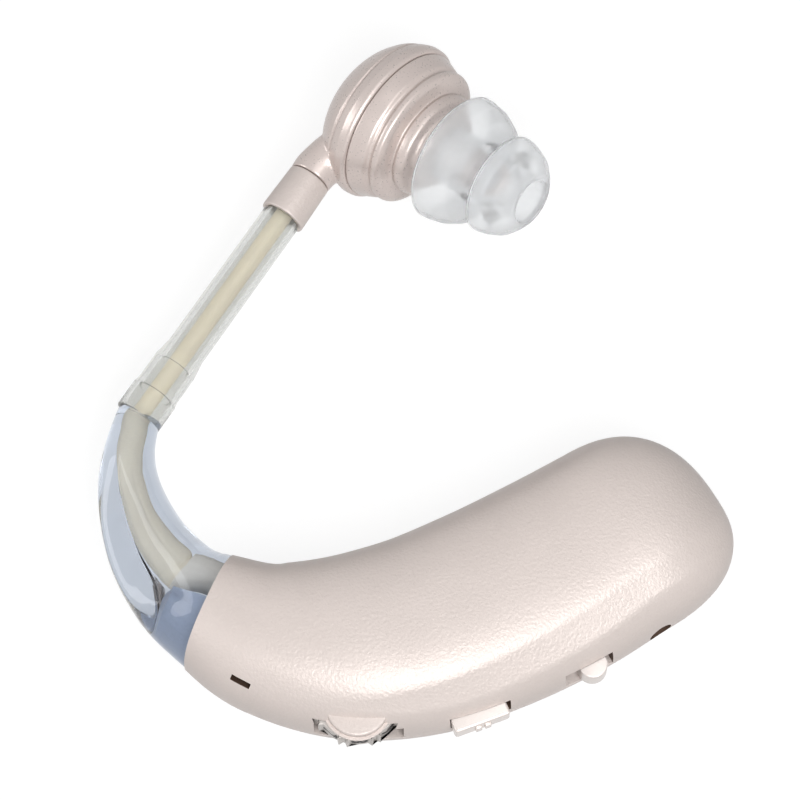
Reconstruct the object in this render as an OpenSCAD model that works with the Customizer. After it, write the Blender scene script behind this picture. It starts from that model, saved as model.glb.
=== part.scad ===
// Behind-the-ear sound amplifier with an ear hook, a receiver tube and an ear tip.
// It lies on the flat of its back shell: +X runs along the body, +Y towards the
// receiver head, +Z up through the front shell. The origin is the middle of its footprint.

/* [Body] */
// Place of the hook joint along X
joint_x = -17.67; // [-19:0.01:-16]
// Place of the hook joint along Y
joint_y = -20.5; // [-22:0.01:-19]
// Length that the body's stations are shares of
body_l = 45; // [42:0.5:48]
// Greatest width of the body
body_w = 18.2; // [17:0.1:20]
// Height of the front shell over the seam
front_h = 6.6; // [6.2:0.1:7.4]
// Height of the seam over the resting face
seam_z = 5.9; // [5.6:0.1:6.2]
// Depth of the back shell's curve under the seam, before its flat is cut
back_h = 6.4; // [6.2:0.1:7]
// Length of the round end
end_l = 9.75; // [9:0.05:11]
// How far the round end leans to the outer side
end_lean = 1.6; // [1:0.1:2]
// Depth of the long bevel on the front shell
bevel_depth = 0.2; // [0.1:0.05:0.3]
// Wall of both shells
wall = 0.9; // [0.8:0.05:1]
// Height of the back shell's lip over the seam
lip_h = 0.7; // [0.5:0.1:0.9]
// Thickness of the lip
lip_t = 0.4; // [0.3:0.05:0.5]

/* [Volume wheel] */
// Radius of the wheel
wheel_r = 4.2; // [4:0.1:4.4]
// Thickness of the wheel
wheel_t = 2; // [1.8:0.1:2.1]
// Height of the wheel's lower face over the board
wheel_lift = 0.85; // [0.8:0.05:0.95]
// How far the wheel stands out of the body
wheel_out = 1.1; // [0.9:0.1:1.3]
// Depth of the teeth
tooth_h = 0.3; // [0.2:0.05:0.4]
// Width of a tooth at its root
tooth_w = 0.5; // [0.4:0.05:0.6]
// Width of the wheel's slot
wheel_slot_w = 7.6; // [7.2:0.1:8]
// Radius of the hood over the wheel
hood_r = 2.7; // [2.5:0.1:2.9]
// Height of the hood
hood_h = 0.75; // [0.6:0.05:0.9]
// How far the hood stands out of the body
hood_out = 0.75; // [0.6:0.05:0.9]
// Radius of the wheel's pin
pin_r = 0.8; // [0.7:0.05:0.9]
// Side of the potentiometer's base
pot_w = 4.2; // [4:0.1:4.4]
// Height of the potentiometer's base
pot_h = 0.65; // [0.5:0.05:0.7]

/* [Mode button] */
// Length of the button
button_l = 5; // [4.6:0.1:5.4]
// Height of the button
button_h = 1.7; // [1.5:0.1:1.8]
// How far the button stands out of the body
button_out = 1; // [0.8:0.1:1.2]
// Height of the button's middle over the seam
button_up = 1.45; // [1.3:0.05:1.6]
// Travel of the button
button_travel = 0.3; // [0.2:0.05:0.4]

/* [Slide switch] */
// Width of the knob
knob_w = 2.54; // [2.3:0.02:2.7]
// How far the knob stands out of the body
knob_out = 1; // [0.8:0.1:1.2]
// Length of the knob's slot
knob_slot_l = 4.6; // [4.4:0.1:5]
// Height of the knob's slot over the seam
knob_slot_h = 2.4; // [2.2:0.1:2.5]
// Width of the knob's neck
neck_w = 1; // [0.8:0.1:1.2]

/* [Charging socket] */
// Radius of the socket's mouth
port_r = 1.05; // [1:0.01:1.1]
// Radius of the socket's centre pin
port_pin_r = 0.3; // [0.25:0.01:0.35]
// Depth of the socket
port_l = 4; // [3.5:0.1:4.5]

/* [Ear hook and tube] */
// Straight reach of the hook from its joint to the tube
hook_l = 19; // [18.5:0.1:20]
// Width of the hook at its joint
hook_w = 10.5; // [10.3:0.1:10.7]
// Wall of the hook
hook_wall = 0.8; // [0.7:0.05:0.9]
// Radius of the hook's nipple
nipple_r = 1.4; // [1.35:0.05:1.5]
// Length of the nipple inside the tube
nipple_l = 5.7; // [5:0.1:6.2]
// Turn of the tube from +X, in degrees
tube_turn = 56.8; // [55:0.1:58]
// Length of the tube
tube_l = 26; // [25:0.1:28]
// Outer radius of the tube
tube_r = 1.8; // [1.75:0.05:1.9]
// Wall of the tube
tube_wall = 0.6; // [0.5:0.05:0.65]
// Radius of the wire sheath
sheath_r = 0.7; // [0.6:0.05:0.75]
// Length of the sleeve at the tube's head end
sleeve_l = 4.4; // [4:0.1:5]
// Outer radius of the sleeve
sleeve_r = 2.08; // [2.05:0.01:2.15]

/* [Receiver head] */
// Longer radius of the head at its seam
head_r = 7.6; // [7.3:0.1:7.8]
// Depth of the head behind its seam
head_back = 5.8; // [5.6:0.1:6.2]
// Depth of the head in front of its seam
head_front = 5.4; // [5.2:0.1:5.8]
// Wall of the head
head_wall = 0.8; // [0.7:0.05:0.9]
// Distance of the head's middle beyond the sleeve, along the tube
head_along = 8.8; // [8.6:0.1:9]
// Distance of the head's middle from the tube's line
head_side = 3.9; // [3.8:0.1:4.1]
// Height of the head's middle over the tube's line
head_lift = 0.32; // [0.2:0.01:0.5]
// Turn of the ear tip's line from +X, in degrees
tip_turn = -38.9; // [-41:0.1:-37]
// Rise of the ear tip's line over the table, in degrees
tip_rise = 16.3; // [14:0.1:18]
// Outer radius of the nozzle
nozzle_r = 2; // [1.9:0.05:2.1]
// Inner radius of the nozzle
nozzle_bore_r = 1.3; // [1.2:0.05:1.4]
// Length of the nozzle in front of the head
nozzle_l = 5.6; // [5:0.1:6]

/* [Ear tip] */
// Radius of the large flange
tip_r = 6; // [5.5:0.1:6.3]
// Length of the ear tip
tip_l = 9.5; // [9:0.1:10.2]

/* [Inside] */
// Thickness of the circuit board
board_t = 0.8; // [0.6:0.1:0.9]
// Distance of the board's edge from the body's outline
board_inset = 2.1; // [2:0.1:2.4]
// Length of the battery cell
cell_l = 17; // [15:0.5:18]
// Width of the battery cell
cell_w = 7.6; // [7:0.1:8]
// Thickness of the battery cell
cell_t = 3.1; // [2.8:0.1:3.2]
// Radius of the microphone
mic_r = 1.3; // [1.2:0.1:1.4]
// Height of the microphone
mic_h = 1.1; // [0.9:0.1:1.3]
// Width of the gasket round the receiver capsule
gasket_w = 0.78; // [0.6:0.02:0.9]
// Depth of the receiver capsule
speaker_l = 3; // [2.7:0.1:3.2]
// Gap of a running fit
run_gap = 0.05; // [0.03:0.01:0.08]
// Gap beside loose pieces
side_gap = 0.15; // [0.1:0.05:0.2]

/* [Hidden] */

// Overrun of every cut
over = 0.5;
// Height of the hook's and the tube's line, level with the middle of the body's open end
axis_z = seam_z + front_h * 0.106;

// Stations of the body from the hook joint to the round end:
// place along X and Y in shares of the length, half width in shares of half the width,
// front and back depth in shares of theirs
body_shares = [
    [0, 0, 0.58, 0.89, 0.70],
    [0.112, -0.050, 0.73, 0.955, 0.84],
    [0.252, -0.066, 0.875, 1, 0.97],
    [0.394, -0.045, 0.955, 1, 1],
    [0.532, 0.008, 0.985, 1, 1],
    [0.661, 0.073, 0.99, 1, 1],
    [0.776, 0.142, 0.967, 1, 1]];
body_rows = [for (s = body_shares) [joint_x + s[0] * body_l, joint_y + s[1] * body_l,
    s[2] * body_w / 2, s[3] * front_h, s[4] * back_h]];
last_t = len(body_rows) - 1;
// How full the sections are: 2 is an ellipse, more is squarer
front_full = 2.55;
end_full = 2.45;
end_full_z = 2.2;
// Turn of the bevel's face and its depth along the body, in shares
bevel_turn_shares = [45, 45, 45, 48, 53, 58, 62];
bevel_shares = [0, 0, 0.05, 0.75, 1, 0.9, 0.55];

// Sweeps along the body and points round a half section
sweep_steps = 15;
half_steps = 14;
end_angles = [0, 22, 40, 55, 67, 77, 84, 88];

function mix(a, b, u) = a * (1 - u) + b * u;
function unit(v) = v / norm(v);
function side(d) = [-d[1], d[0]];
function flat(a) = [for (b = a) for (c = b) c];
// A smooth curve through the rows of a table, at station t
function before(p, i) = i < 0 ? 2 * p[0] - p[1] : (i >= len(p) ? 2 * p[len(p) - 1] - p[len(p) - 2] : p[i]);
function curve4(a, b, c, d, u) =
    0.5 * (2 * b + (c - a) * u + (2 * a - 5 * b + 4 * c - d) * u * u + (3 * b - a - 3 * c + d) * u * u * u);
function curve(p, t) =
    let (i = min(max(floor(t), 0), len(p) - 2), u = t - i)
    curve4(before(p, i - 1), before(p, i), before(p, i + 1), before(p, i + 2), u);
function slope(p, t) =
    let (e = 0.001, a = curve(p, max(t - e, 0)), b = curve(p, min(t + e, len(p) - 1)))
    unit([b[0] - a[0], b[1] - a[1]]);
function table(p, t) = let (i = min(max(floor(t), 0), len(p) - 2)) mix(p[i], p[i + 1], t - i);

// The body's line, its direction and half width at station t
function body_at(t) = curve(body_rows, t);
function body_dir(t) = slope(body_rows, t);
function body_turn(t) = atan2(body_dir(t)[1], body_dir(t)[0]);
// Point of the outer edge at station t
function edge_at(t) = [body_at(t)[0], body_at(t)[1]] - side(body_dir(t)) * body_at(t)[2];

// A section of the body: centre, direction, half width, front and back depth, bevel depth and turn
function body_section(t, inset) =
    let (r = body_at(t))
    [[r[0], r[1]], body_dir(t), r[2] - inset, r[3] - inset, r[4] - inset,
        table(bevel_shares, t) * bevel_depth, table(bevel_turn_shares, t)];
function end_section(a, inset) =
    let (s = body_section(last_t, inset),
        u = pow(1 - pow(sin(a), end_full), 1 / end_full),
        v = pow(1 - pow(sin(a), end_full_z), 1 / end_full_z))
    [s[0] + s[1] * (end_l - inset) * sin(a) - side(s[1]) * end_lean * (1 - u), s[1],
        s[2] * u, s[3] * v, s[4] * v, s[5] * cos(a), s[6]];
function sections(inset, t0) = concat(
    [for (i = [0 : sweep_steps]) body_section(mix(t0, last_t, i / sweep_steps), inset)],
    [for (i = [1 : len(end_angles) - 1]) end_section(end_angles[i], inset)]);
// Half sections over and under the seam, as closed rings
function power(v, e) = sign(v) * pow(abs(v), e);
function beveled(x, z, s) =
    let (w = s[2], f = s[3], c = cos(s[6]), n = sin(s[6]), q = front_full / (front_full - 1),
        reach = pow(pow(w * c, q) + pow(f * n, q), 1 / q) - s[5], d = -x * c + z * n)
    d > reach ? [x * reach / d, z * reach / d] : [x, z];
function front_ring(s) = [for (i = [0 : half_steps])
    let (a = 180 * i / half_steps, e = 2 / front_full,
        p = beveled(s[2] * power(cos(a), e), s[3] * power(max(sin(a), 0), e), s),
        q = s[0] + side(s[1]) * p[0])
    [q[0], q[1], seam_z + p[1]]];
function back_ring(s, floor_z) = [for (i = [0 : half_steps])
    let (a = 180 * i / half_steps, q = s[0] + side(s[1]) * s[2] * cos(a))
    [q[0], q[1], max(seam_z - s[4] * sin(a), floor_z)]];
function at_height(p, z) = [p[0], p[1], z];
function reversed(a) = [for (i = [len(a) - 1 : -1 : 0]) a[i]];

// A closed solid through rings of as many points each, the first one the foremost
module skin(rings) {
    n = len(rings[0]);
    m = len(rings);
    quads = flat([for (i = [0 : m - 2]) [for (j = [0 : n - 1])
        [i * n + j, i * n + (j + 1) % n, (i + 1) * n + (j + 1) % n, (i + 1) * n + j]]]);
    first = [for (j = [n - 1 : -1 : 0]) j];
    last = [for (j = [0 : n - 1]) (m - 1) * n + j];
    polyhedron(points = flat(rings), faces = concat(quads, [first, last]));
}
// The front and back halves of the body, from station t0 to the round end.
// A half that is to cut the other's walls reaches past the seam.
module front_form(inset, t0, drop) {
    skin(reversed([for (s = sections(inset, t0)) let (r = front_ring(s)) drop == 0 ? r
        : concat([at_height(r[0], seam_z - drop)], r, [at_height(r[half_steps], seam_z - drop)])]));
}
module back_form(inset, t0, rise, floor_z) {
    skin(reversed([for (s = sections(inset, t0)) let (r = reversed(back_ring(s, floor_z))) rise == 0 ? r
        : concat([at_height(r[0], seam_z + rise)], r, [at_height(r[half_steps], seam_z + rise)])]));
}
// Outline of the body at the seam, inset, between two stations and into the round end
function outline(inset, t0, reach) =
    let (a = [for (s = sections(inset, t0)) if ((s[0] - [body_at(last_t)[0], body_at(last_t)[1]])
            * body_dir(last_t) <= reach) s])
    concat([for (s = a) s[0] + side(s[1]) * s[2]], [for (s = reversed(a)) s[0] - side(s[1]) * s[2]]);

// A piece's own place at the outer edge: X along the edge, -Y out of the body
module at_edge(t) {
    translate([edge_at(t)[0], edge_at(t)[1], 0]) rotate([0, 0, body_turn(t)]) children();
}
// A place on the board, n off the body's line
module on_line(t, n) {
    p = body_at(t);
    q = [p[0], p[1]] + side(body_dir(t)) * n;
    translate([q[0], q[1], 0]) rotate([0, 0, body_turn(t)]) children();
}
module block(x, y, z) {
    translate([-x / 2, 0, 0]) cube([x, y, z]);
}

// Stations of the pieces along the edge
wheel_at = 2.16;
button_at = 3.37;
knob_at = 4.81;
port_at = 5.86;
mic_at = 0.9;
screw_at = 1.2;
board_from = 1.7;

// Heights inside
board_z = seam_z - board_t;
board_top = seam_z;
wheel_z = board_top + wheel_lift;
wheel_in = wheel_r - wheel_out;
slot_top = wheel_z + wheel_t + side_gap;
button_z = seam_z + button_up - button_h / 2;
knob_h = knob_slot_h - 2 * side_gap;
// Depth of the inner wall from the edge, at the height of the edge pieces
wall_in = wall + 0.3 * wall;

module wheel_cut() {
    translate([0, -over - wheel_out, seam_z - over])
        block(wheel_slot_w, wall_in + wheel_out + over, slot_top - seam_z + over);
    translate([0, wheel_in, seam_z - over])
        cylinder(r = wheel_r + side_gap, h = slot_top - seam_z + over, $fn = 64);
}
module hood() {
    translate([0, hood_r - hood_out, slot_top])
        intersection() {
            cylinder(r = hood_r, h = hood_h, $fn = 48);
            translate([-hood_r, -hood_r, 0]) cube([2 * hood_r, hood_out + wall_in + over / 2, hood_h]);
        }
}
module button_cut() {
    translate([side_gap, -button_out - over, button_z - side_gap / 2])
        block(button_l + 3 * side_gap, button_out + over + 2 * wall, button_h + side_gap);
    translate([side_gap, wall / 2, seam_z + lip_h / 2])
        block(button_l + 3 * side_gap, 1.5 * wall, button_z - seam_z);
}
module knob_cut() {
    translate([-knob_slot_shift, -knob_out - over, seam_z - over])
        block(knob_slot_l, knob_out + over + wall_in, knob_slot_h + over);
}
// The knob rests off the middle of its slot
knob_slot_shift = 0.36;

module port_cut() {
    translate([0, -over, seam_z]) rotate([-90, port_turn, 0])
        cylinder(r = port_r + run_gap, h = over + wall_in, $fn = 32);
    translate([0, port_seat, seam_z - port_block / 2]) block(port_block, port_l, port_block);
}
// The charging socket's block and where its face lies inside the edge
port_block = 2 * port_r + 1.6 * wall;
port_seat = wall_in;
port_turn = 45;

// The microphone's place: its slot's middle, and its line square to the shell
mic_slot_l = 1.4 * mic_r;
mic_slot_w = 0.46 * mic_r;
mic_in = 0.89 * mic_r;
mic_tilt = 50;
mic_turn = -8;
module at_mic() {
    at_edge(mic_at) translate([0, mic_in, seam_z + front_h * 0.64]) rotate([mic_tilt, 0, 0]) children();
}
module mic_cut() {
    at_mic() rotate([0, 0, mic_turn]) translate([0, -mic_slot_w / 2, -mic_seat])
        block(mic_slot_l, mic_slot_w, mic_seat + over);
}

// Case screws: near the hook, and in the round end
screw_r = 0.5;
boss_r = screw_r + wall;
boss_gap = side_gap / 3;
// Thickness of the body's end wall, and the station behind it
end_wall = 1.1 * wall;
wall_from = end_wall / norm([body_rows[1][0] - body_rows[0][0], body_rows[1][1] - body_rows[0][1]]);
head_screw_r = 0.95;
module screw_places() {
    on_line(screw_at, -0.02 * body_w) children();
    on_line(last_t, 0) translate([end_l * 0.5, -end_lean * 0.3, 0]) children();
}

module front_shell() {
    color("#d9c8c0") difference() {
        union() {
            difference() {
                front_form(0, 0, 0);
                difference() {
                    front_form(wall, wall_from, over);
                    screw_places() translate([0, 0, seam_z + boss_gap])
                        cylinder(r = boss_r, h = front_h, $fn = 32);
                }
            }
            at_edge(wheel_at) hood();
        }
        lip_form(wall - lip_t - run_gap, wall + run_gap, over, lip_h + run_gap);
        screw_places() translate([0, 0, seam_z - over])
            cylinder(r = screw_r, h = screw_grip + over, $fn = 24);
        at_edge(wheel_at) wheel_cut();
        at_edge(button_at) button_cut();
        at_edge(knob_at) knob_cut();
        at_edge(port_at) port_cut();
        mic_cut();
        mount_hole();
    }
}
// How far a case screw reaches into the front shell's boss
screw_grip = front_h * 0.45;

// The back shell's lip stands on the inner half of its wall, in a rebate of the front shell
module lip_form(outer, inner, low, high) {
    translate([0, 0, seam_z - low]) linear_extrude(height = low + high) difference() {
        polygon(outline(outer, lip_from, end_l));
        polygon(outline(inner, lip_from - over / body_l, end_l));
    }
}
lip_from = 0.3;
module back_shell() {
    color("#d3c1b8") difference() {
        union() {
            difference() {
                back_form(0, 0, 0, 0);
                back_form(wall, wall_from, over, wall);
            }
            lip_form(wall - lip_t, wall, wall / 3, lip_h);
            screw_places() translate([0, 0, post_foot])
                cylinder(r = boss_r, h = seam_z - post_foot, $fn = 32);
            board_screw_places() translate([0, 0, post_foot])
                cylinder(r = post_r, h = board_z - post_foot, $fn = 24);
        }
        screw_places() translate([0, 0, -over]) {
            cylinder(r = screw_r + run_gap, h = seam_z + 2 * over, $fn = 24);
            cylinder(r = head_screw_r + side_gap, h = screw_sink + over, $fn = 32);
        }
        board_screw_places() translate([0, 0, board_z - post_grip])
            cylinder(r = board_screw_r, h = front_h, $fn = 24);
        at_edge(wheel_at) wheel_cut_low();
        at_edge(button_at) button_lip_cut();
        at_edge(knob_at) knob_lip_cut();
        at_edge(port_at) port_cut();
        mount_hole();
    }
}
// How deep a case screw's head sits in the back shell
screw_sink = back_h * 0.3;
module wheel_cut_low() {
    translate([0, 0, seam_z - run_gap]) block(wheel_slot_w, 2 * wall_in, lip_h + over);
    translate([0, wheel_in, seam_z - 2 * run_gap]) cylinder(r = wheel_r + side_gap, h = lip_h + over, $fn = 64);
    translate([0, wall, seam_z - over]) block(pot_w + 2 * side_gap, pot_w, over + lip_h);
}
module button_lip_cut() {
    translate([0, wall / 2, seam_z - run_gap]) block(button_l + 6 * wall, 2 * wall_in, lip_h + over);
}
module knob_lip_cut() {
    translate([0, wall / 2, seam_z - run_gap]) block(knob_slot_l + 4 * wall, 2 * wall_in, lip_h + over);
}

// Two posts under the board, and their screws
post_r = 1;
board_screw_r = 0.35;
post_grip = 1.6;
// Foot of the posts and bosses, sunk into the back shell's floor
post_foot = 1.3 * wall;
module board_screw_places() {
    on_line(1.98, 0.19 * body_w) children();
    on_line(last_t, 0) translate([end_l * 0.13, 0.24 * body_w, 0]) children();
}
module board_screws() {
    color("silver") board_screw_places() {
        translate([0, 0, board_z - post_grip])
            cylinder(r = board_screw_r, h = post_grip + board_t, $fn = 24);
        translate([0, 0, board_top]) cylinder(r = 2 * board_screw_r, h = board_screw_r, $fn = 24);
    }
}
module case_screws() {
    color("silver") screw_places() difference() {
        union() {
            translate([0, 0, screw_sink])
                cylinder(r = screw_r, h = seam_z - screw_sink + screw_grip - side_gap, $fn = 24);
            translate([0, 0, screw_sink - head_screw_r])
                cylinder(r = head_screw_r, h = head_screw_r, $fn = 32);
        }
        for (a = [0, 90]) rotate([0, 0, a])
            translate([-head_screw_r * 0.7, -screw_r / 4, screw_sink - head_screw_r - over])
                cube([head_screw_r * 1.4, screw_r / 2, over + screw_r]);
    }
}

module main_board() {
    color("#2f6b46") difference() {
        translate([0, 0, board_z]) linear_extrude(height = board_t)
            polygon(outline(board_inset, board_from, end_l * 0.3));
        board_screw_places() translate([0, 0, board_z - over])
            cylinder(r = board_screw_r + run_gap, h = board_t + 2 * over, $fn = 24);
        at_edge(port_at) translate([0, 0, board_z - over])
            block(port_block + 2 * side_gap, port_seat + port_l + side_gap, board_t + 2 * over);
    }
}
module amplifier_chip() {
    color("#26282b") on_line(amplifier_at, 0.1 * body_w) translate([0, 0, board_top]) {
        block(chip_w, chip_w, chip_h);
        for (k = [0 : 4]) translate([(k - 2) * chip_w / 6, -chip_leg, 0])
            block(chip_leg / 2, chip_w + 2 * chip_leg, chip_leg / 2);
    }
}
amplifier_at = 3.1;
chip_w = 3;
chip_h = 0.9;
chip_leg = 0.5;
module charge_chip() {
    color("#2b2c30") on_line(charge_chip_at, 0.12 * body_w) translate([0, 0, board_top]) {
        block(chip_w * 0.6, chip_w * 0.5, chip_h);
        for (k = [-1 : 1]) translate([k * chip_w / 6, -chip_leg, 0])
            block(chip_leg / 2, chip_w * 0.5 + 2 * chip_leg, chip_leg / 2);
    }
}
charge_chip_at = 4.55;
module capacitors() {
    color("#c9a26b") for (t = capacitor_at) on_line(t, 0.16 * body_w) translate([0, 0, board_top])
        cylinder(r = cap_r, h = cap_h, $fn = 24);
}
capacitor_at = [3.75, 4.1];
cap_r = 0.7;
cap_h = 1.8;
module chip_resistors() {
    color("#3a3530") for (t = resistors_at) on_line(t, 0.31 * body_w)
        translate([0, 0, board_top]) block(cap_r * 1.4, cap_r * 0.7, cap_r / 2);
}
resistors_at = [3.5 : 0.35 : 4.9];
module crystal() {
    color("#c8c8cc") on_line(crystal_at, 0.2 * body_w) translate([0, 0, board_top])
        block(chip_w * 0.8, chip_w * 0.5, chip_h);
}
crystal_at = 5.35;

// The cell lies under the board on a foam pad
cell_at = 3.65;
cell_z = board_z - side_gap - cell_t;
module battery_cell() {
    color("#b9bec4") on_line(cell_at, 0) translate([0, 0, cell_z]) {
        round_bar(cell_l, cell_w, cell_t);
        translate([-(cell_l + tab_l) / 2, -cell_w / 3, cell_t / 3]) block(tab_l, cell_w / 1.5, cell_t / 3);
    }
}
tab_l = 0.8;
module round_bar(l, w, h) {
    c = h / 4;
    translate([-l / 2, 0, 0]) rotate([90, 0, 90]) linear_extrude(height = l)
        polygon([[-w / 2 + c, 0], [w / 2 - c, 0], [w / 2, c], [w / 2, h - c],
            [w / 2 - c, h], [-w / 2 + c, h], [-w / 2, h - c], [-w / 2, c]]);
}
module battery_pad() {
    color("#3b3b3d") on_line(cell_at, 0) translate([0, -cell_w * 0.22, wall])
        block(cell_l * 0.5, cell_w * 0.44, cell_z - wall);
}
module battery_tabs() {
    color("#cfcfd2") on_line(cell_at, 0) for (s = [-1, 1])
        translate([-cell_l / 2 - tab_l * 1.25, s * cell_w / 5 - tab_l / 4, cell_z + cell_t / 3])
            block(tab_l / 4, tab_l / 2, board_z - cell_z - cell_t / 3);
}

module microphone() {
    color("#b5b7bb") at_mic() translate([0, 0, -mic_seat - mic_h]) difference() {
        cylinder(r = mic_r - mic_wrap, h = mic_h, $fn = 32);
        translate([0, 0, mic_h - mic_wrap]) cylinder(r = mic_wrap, h = mic_wrap + over, $fn = 24);
    }
}
// Distance from the shell's face to the microphone, and the rubber's thickness
mic_seat = wall + 4 * side_gap;
mic_wrap = 0.3;
module microphone_boot() {
    color("#2c2b2d") at_mic() translate([0, 0, -mic_seat - mic_h - mic_wrap]) difference() {
        cylinder(r = mic_r, h = mic_h + mic_wrap, $fn = 32);
        translate([0, 0, mic_wrap]) cylinder(r = mic_r - mic_wrap, h = mic_h + over, $fn = 32);
    }
}

module volume_pot() {
    color("#8c8f94") at_edge(wheel_at) translate([0, wheel_in, board_top]) {
        translate([0, -pot_w / 2 + side_gap, 0]) block(pot_w, pot_w - side_gap, pot_h);
        cylinder(r = pin_r, h = wheel_lift + wheel_t + run_gap, $fn = 32);
    }
}
module wheel_cap() {
    color("#bfc1c4") at_edge(wheel_at) translate([0, wheel_in, wheel_z + wheel_t + run_gap])
        cylinder(r = hub_r, h = pin_r / 2, $fn = 32);
}
hub_r = 1.6 * pin_r;
// Teeth stand in pairs between the flats that carry the numbers
tooth_pairs = 9;
tooth_step = 9;
module volume_wheel() {
    rim_r = wheel_r - tooth_h;
    color("#9a9794") at_edge(wheel_at) translate([0, wheel_in, wheel_z]) difference() {
        union() {
            cylinder(r = rim_r, h = wheel_t, $fn = 72);
            for (k = [0 : tooth_pairs - 1]) for (s = [-1, 1])
                rotate([0, 0, -90 + 360 * (k + 0.5) / tooth_pairs + s * tooth_step / 2])
                    linear_extrude(height = wheel_t)
                        polygon([[rim_r - tooth_h, -tooth_w / 2], [wheel_r, 0], [rim_r - tooth_h, tooth_w / 2]]);
        }
        translate([0, 0, -over]) cylinder(r = pin_r + run_gap, h = wheel_t + 2 * over, $fn = 32);
        translate([0, 0, wheel_t * 0.7]) difference() {
            cylinder(r = rim_r - 2 * tooth_h, h = wheel_t, $fn = 48);
            translate([0, 0, -over]) cylinder(r = hub_r, h = wheel_t + 2 * over, $fn = 32);
        }
    }
}
module wheel_wiper() {
    color("#d6b76a") at_edge(wheel_at) translate([0, wheel_in, wheel_z - wiper_t]) difference() {
        cylinder(r = pot_w / 2 - side_gap, h = wiper_t, $fn = 48);
        translate([0, 0, -over]) cylinder(r = pot_w / 2 - 4 * side_gap, h = wiper_t + 2 * over, $fn = 48);
    }
}
wiper_t = wheel_lift - pot_h - run_gap;

module mode_button() {
    color("#e6dad4") at_edge(button_at) {
        translate([0, -button_out, button_z]) block(button_l, button_out + flange_y, button_h);
        for (s = [-1, 1]) translate([s * button_l / 12, -button_out - mark_t, button_z + button_h / 4])
            block(button_l / 10, mark_t, button_h / 2);
        translate([0, flange_y, button_z - mark_t])
            block(button_l + wall, flange_t, button_h + 2 * mark_t);
    }
}
mark_t = 0.1;
flange_t = 0.35;
flange_y = wall_in + 2 * side_gap + mark_t;
plunger_y = flange_y + flange_t;
plunger_l = 0.9;
tact_y = plunger_y + plunger_l / 2 + button_travel / 2;
tact_l = 2.4;
module tact_plunger() {
    color("#2a2a2c") at_edge(button_at) translate([0, plunger_y, button_z + button_h / 4])
        block(button_l / 4, plunger_l, button_h / 2);
}
module tact_switch() {
    color("#c4c6c9") at_edge(button_at) difference() {
        translate([0, tact_y, board_top]) block(button_l * 0.8, tact_l, button_z + button_h - board_top);
        translate([0, tact_y - over, button_z + button_h / 4 - side_gap / 2])
            block(button_l / 4 + side_gap, over + plunger_y + plunger_l + button_travel + side_gap - tact_y,
                button_h / 2 + side_gap);
    }
}

// Travel of the knob to each side of its rest
knob_back = 1.2;
knob_on = 0.5;
can_y = wall_in + 2 * side_gap;
can_l = 3;
can_w = 6;
neck_z = seam_z + knob_slot_h / 2;
module switch_can() {
    color("#b8babd") at_edge(knob_at) difference() {
        translate([-knob_slot_shift, can_y, board_top]) block(can_w, can_l, knob_slot_h);
        translate([-(knob_back - knob_on) / 2, can_y - over, neck_z - neck_w / 2 - side_gap / 2])
            block(slider_l + knob_back + knob_on + 2 * side_gap, over + can_l * 0.7, neck_w + side_gap);
    }
}
slider_l = 2;
module switch_slider() {
    color("#303033") at_edge(knob_at) translate([0, can_y + side_gap, neck_z - neck_w / 2])
        block(slider_l, can_l * 0.5, neck_w);
}
module switch_knob() {
    color("#e2d8d3") at_edge(knob_at) {
        translate([0, 0, seam_z + side_gap]) intersection() {
            translate([0, knob_w / 2 - knob_out, 0]) cylinder(r = knob_w / 2, h = knob_h, $fn = 48);
            translate([0, -knob_out, 0]) block(knob_w, knob_out + wall, knob_h);
        }
        translate([0, wall / 2, neck_z - neck_w / 2])
            block(neck_w, can_y + side_gap - wall / 2, neck_w);
    }
}

// The socket: a metal ring at the mouth, a moulded block behind it and a centre pin
ring_l = 1;
ring_t = 0.3;
contact_r = port_r * 0.8;
module charge_ring() {
    color("#a7a9ad") at_edge(port_at) translate([0, port_seat + run_gap, seam_z])
        rotate([-90, 0, 0]) difference() {
        cylinder(r = port_r + ring_t, h = ring_l, $fn = 32);
        translate([0, 0, -over]) cylinder(r = contact_r, h = ring_l + 2 * over, $fn = 32);
    }
}
module charge_socket() {
    low = (port_block - 2 * side_gap) / 2;
    color("#232427") at_edge(port_at) difference() {
        translate([0, port_seat + run_gap, seam_z - low]) block(2 * low, port_l - side_gap, 2 * low);
        translate([0, port_seat - over, seam_z]) rotate([-90, 0, 0])
            cylinder(r = port_r + ring_t, h = over + run_gap + ring_l, $fn = 32);
        translate([0, port_seat, seam_z]) rotate([-90, 0, 0])
            cylinder(r = port_r * 1.1, h = port_l * 0.8, $fn = 32);
    }
}
module charge_pin() {
    pin_y = port_seat + run_gap + ring_l + side_gap;
    color("#c9cbce") at_edge(port_at) translate([0, pin_y, seam_z]) rotate([-90, 0, 0])
        cylinder(r = port_pin_r, h = port_l * 0.8 - ring_l - side_gap - run_gap, $fn = 24);
}

// Stations of the ear hook from its joint to the tube: place in shares of its reach,
// half width and half height in shares of half its width, and how far the wire lies to the inner side
hook_shares = [
    [0, 0, 1, 0.985, 0.35],
    [-0.142, 0.113, 0.86, 0.87, 0.3],
    [-0.263, 0.271, 0.74, 0.74, 0.22],
    [-0.339, 0.439, 0.625, 0.64, 0.1],
    [-0.382, 0.608, 0.52, 0.53, 0.04],
    [-0.384, 0.768, 0.43, 0.43, 0],
    [-0.350, 0.937, 0.37, 0.37, 0]];
hook_rows = [for (s = hook_shares) [joint_x + s[0] * hook_l, joint_y + s[1] * hook_l,
    s[2] * hook_w / 2, s[3] * hook_w / 2, s[4] * s[2] * hook_w / 2]];
hook_last = len(hook_rows) - 1;
tube_dir = [cos(tube_turn), sin(tube_turn)];
tube_start = [hook_rows[hook_last][0], hook_rows[hook_last][1]];
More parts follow.
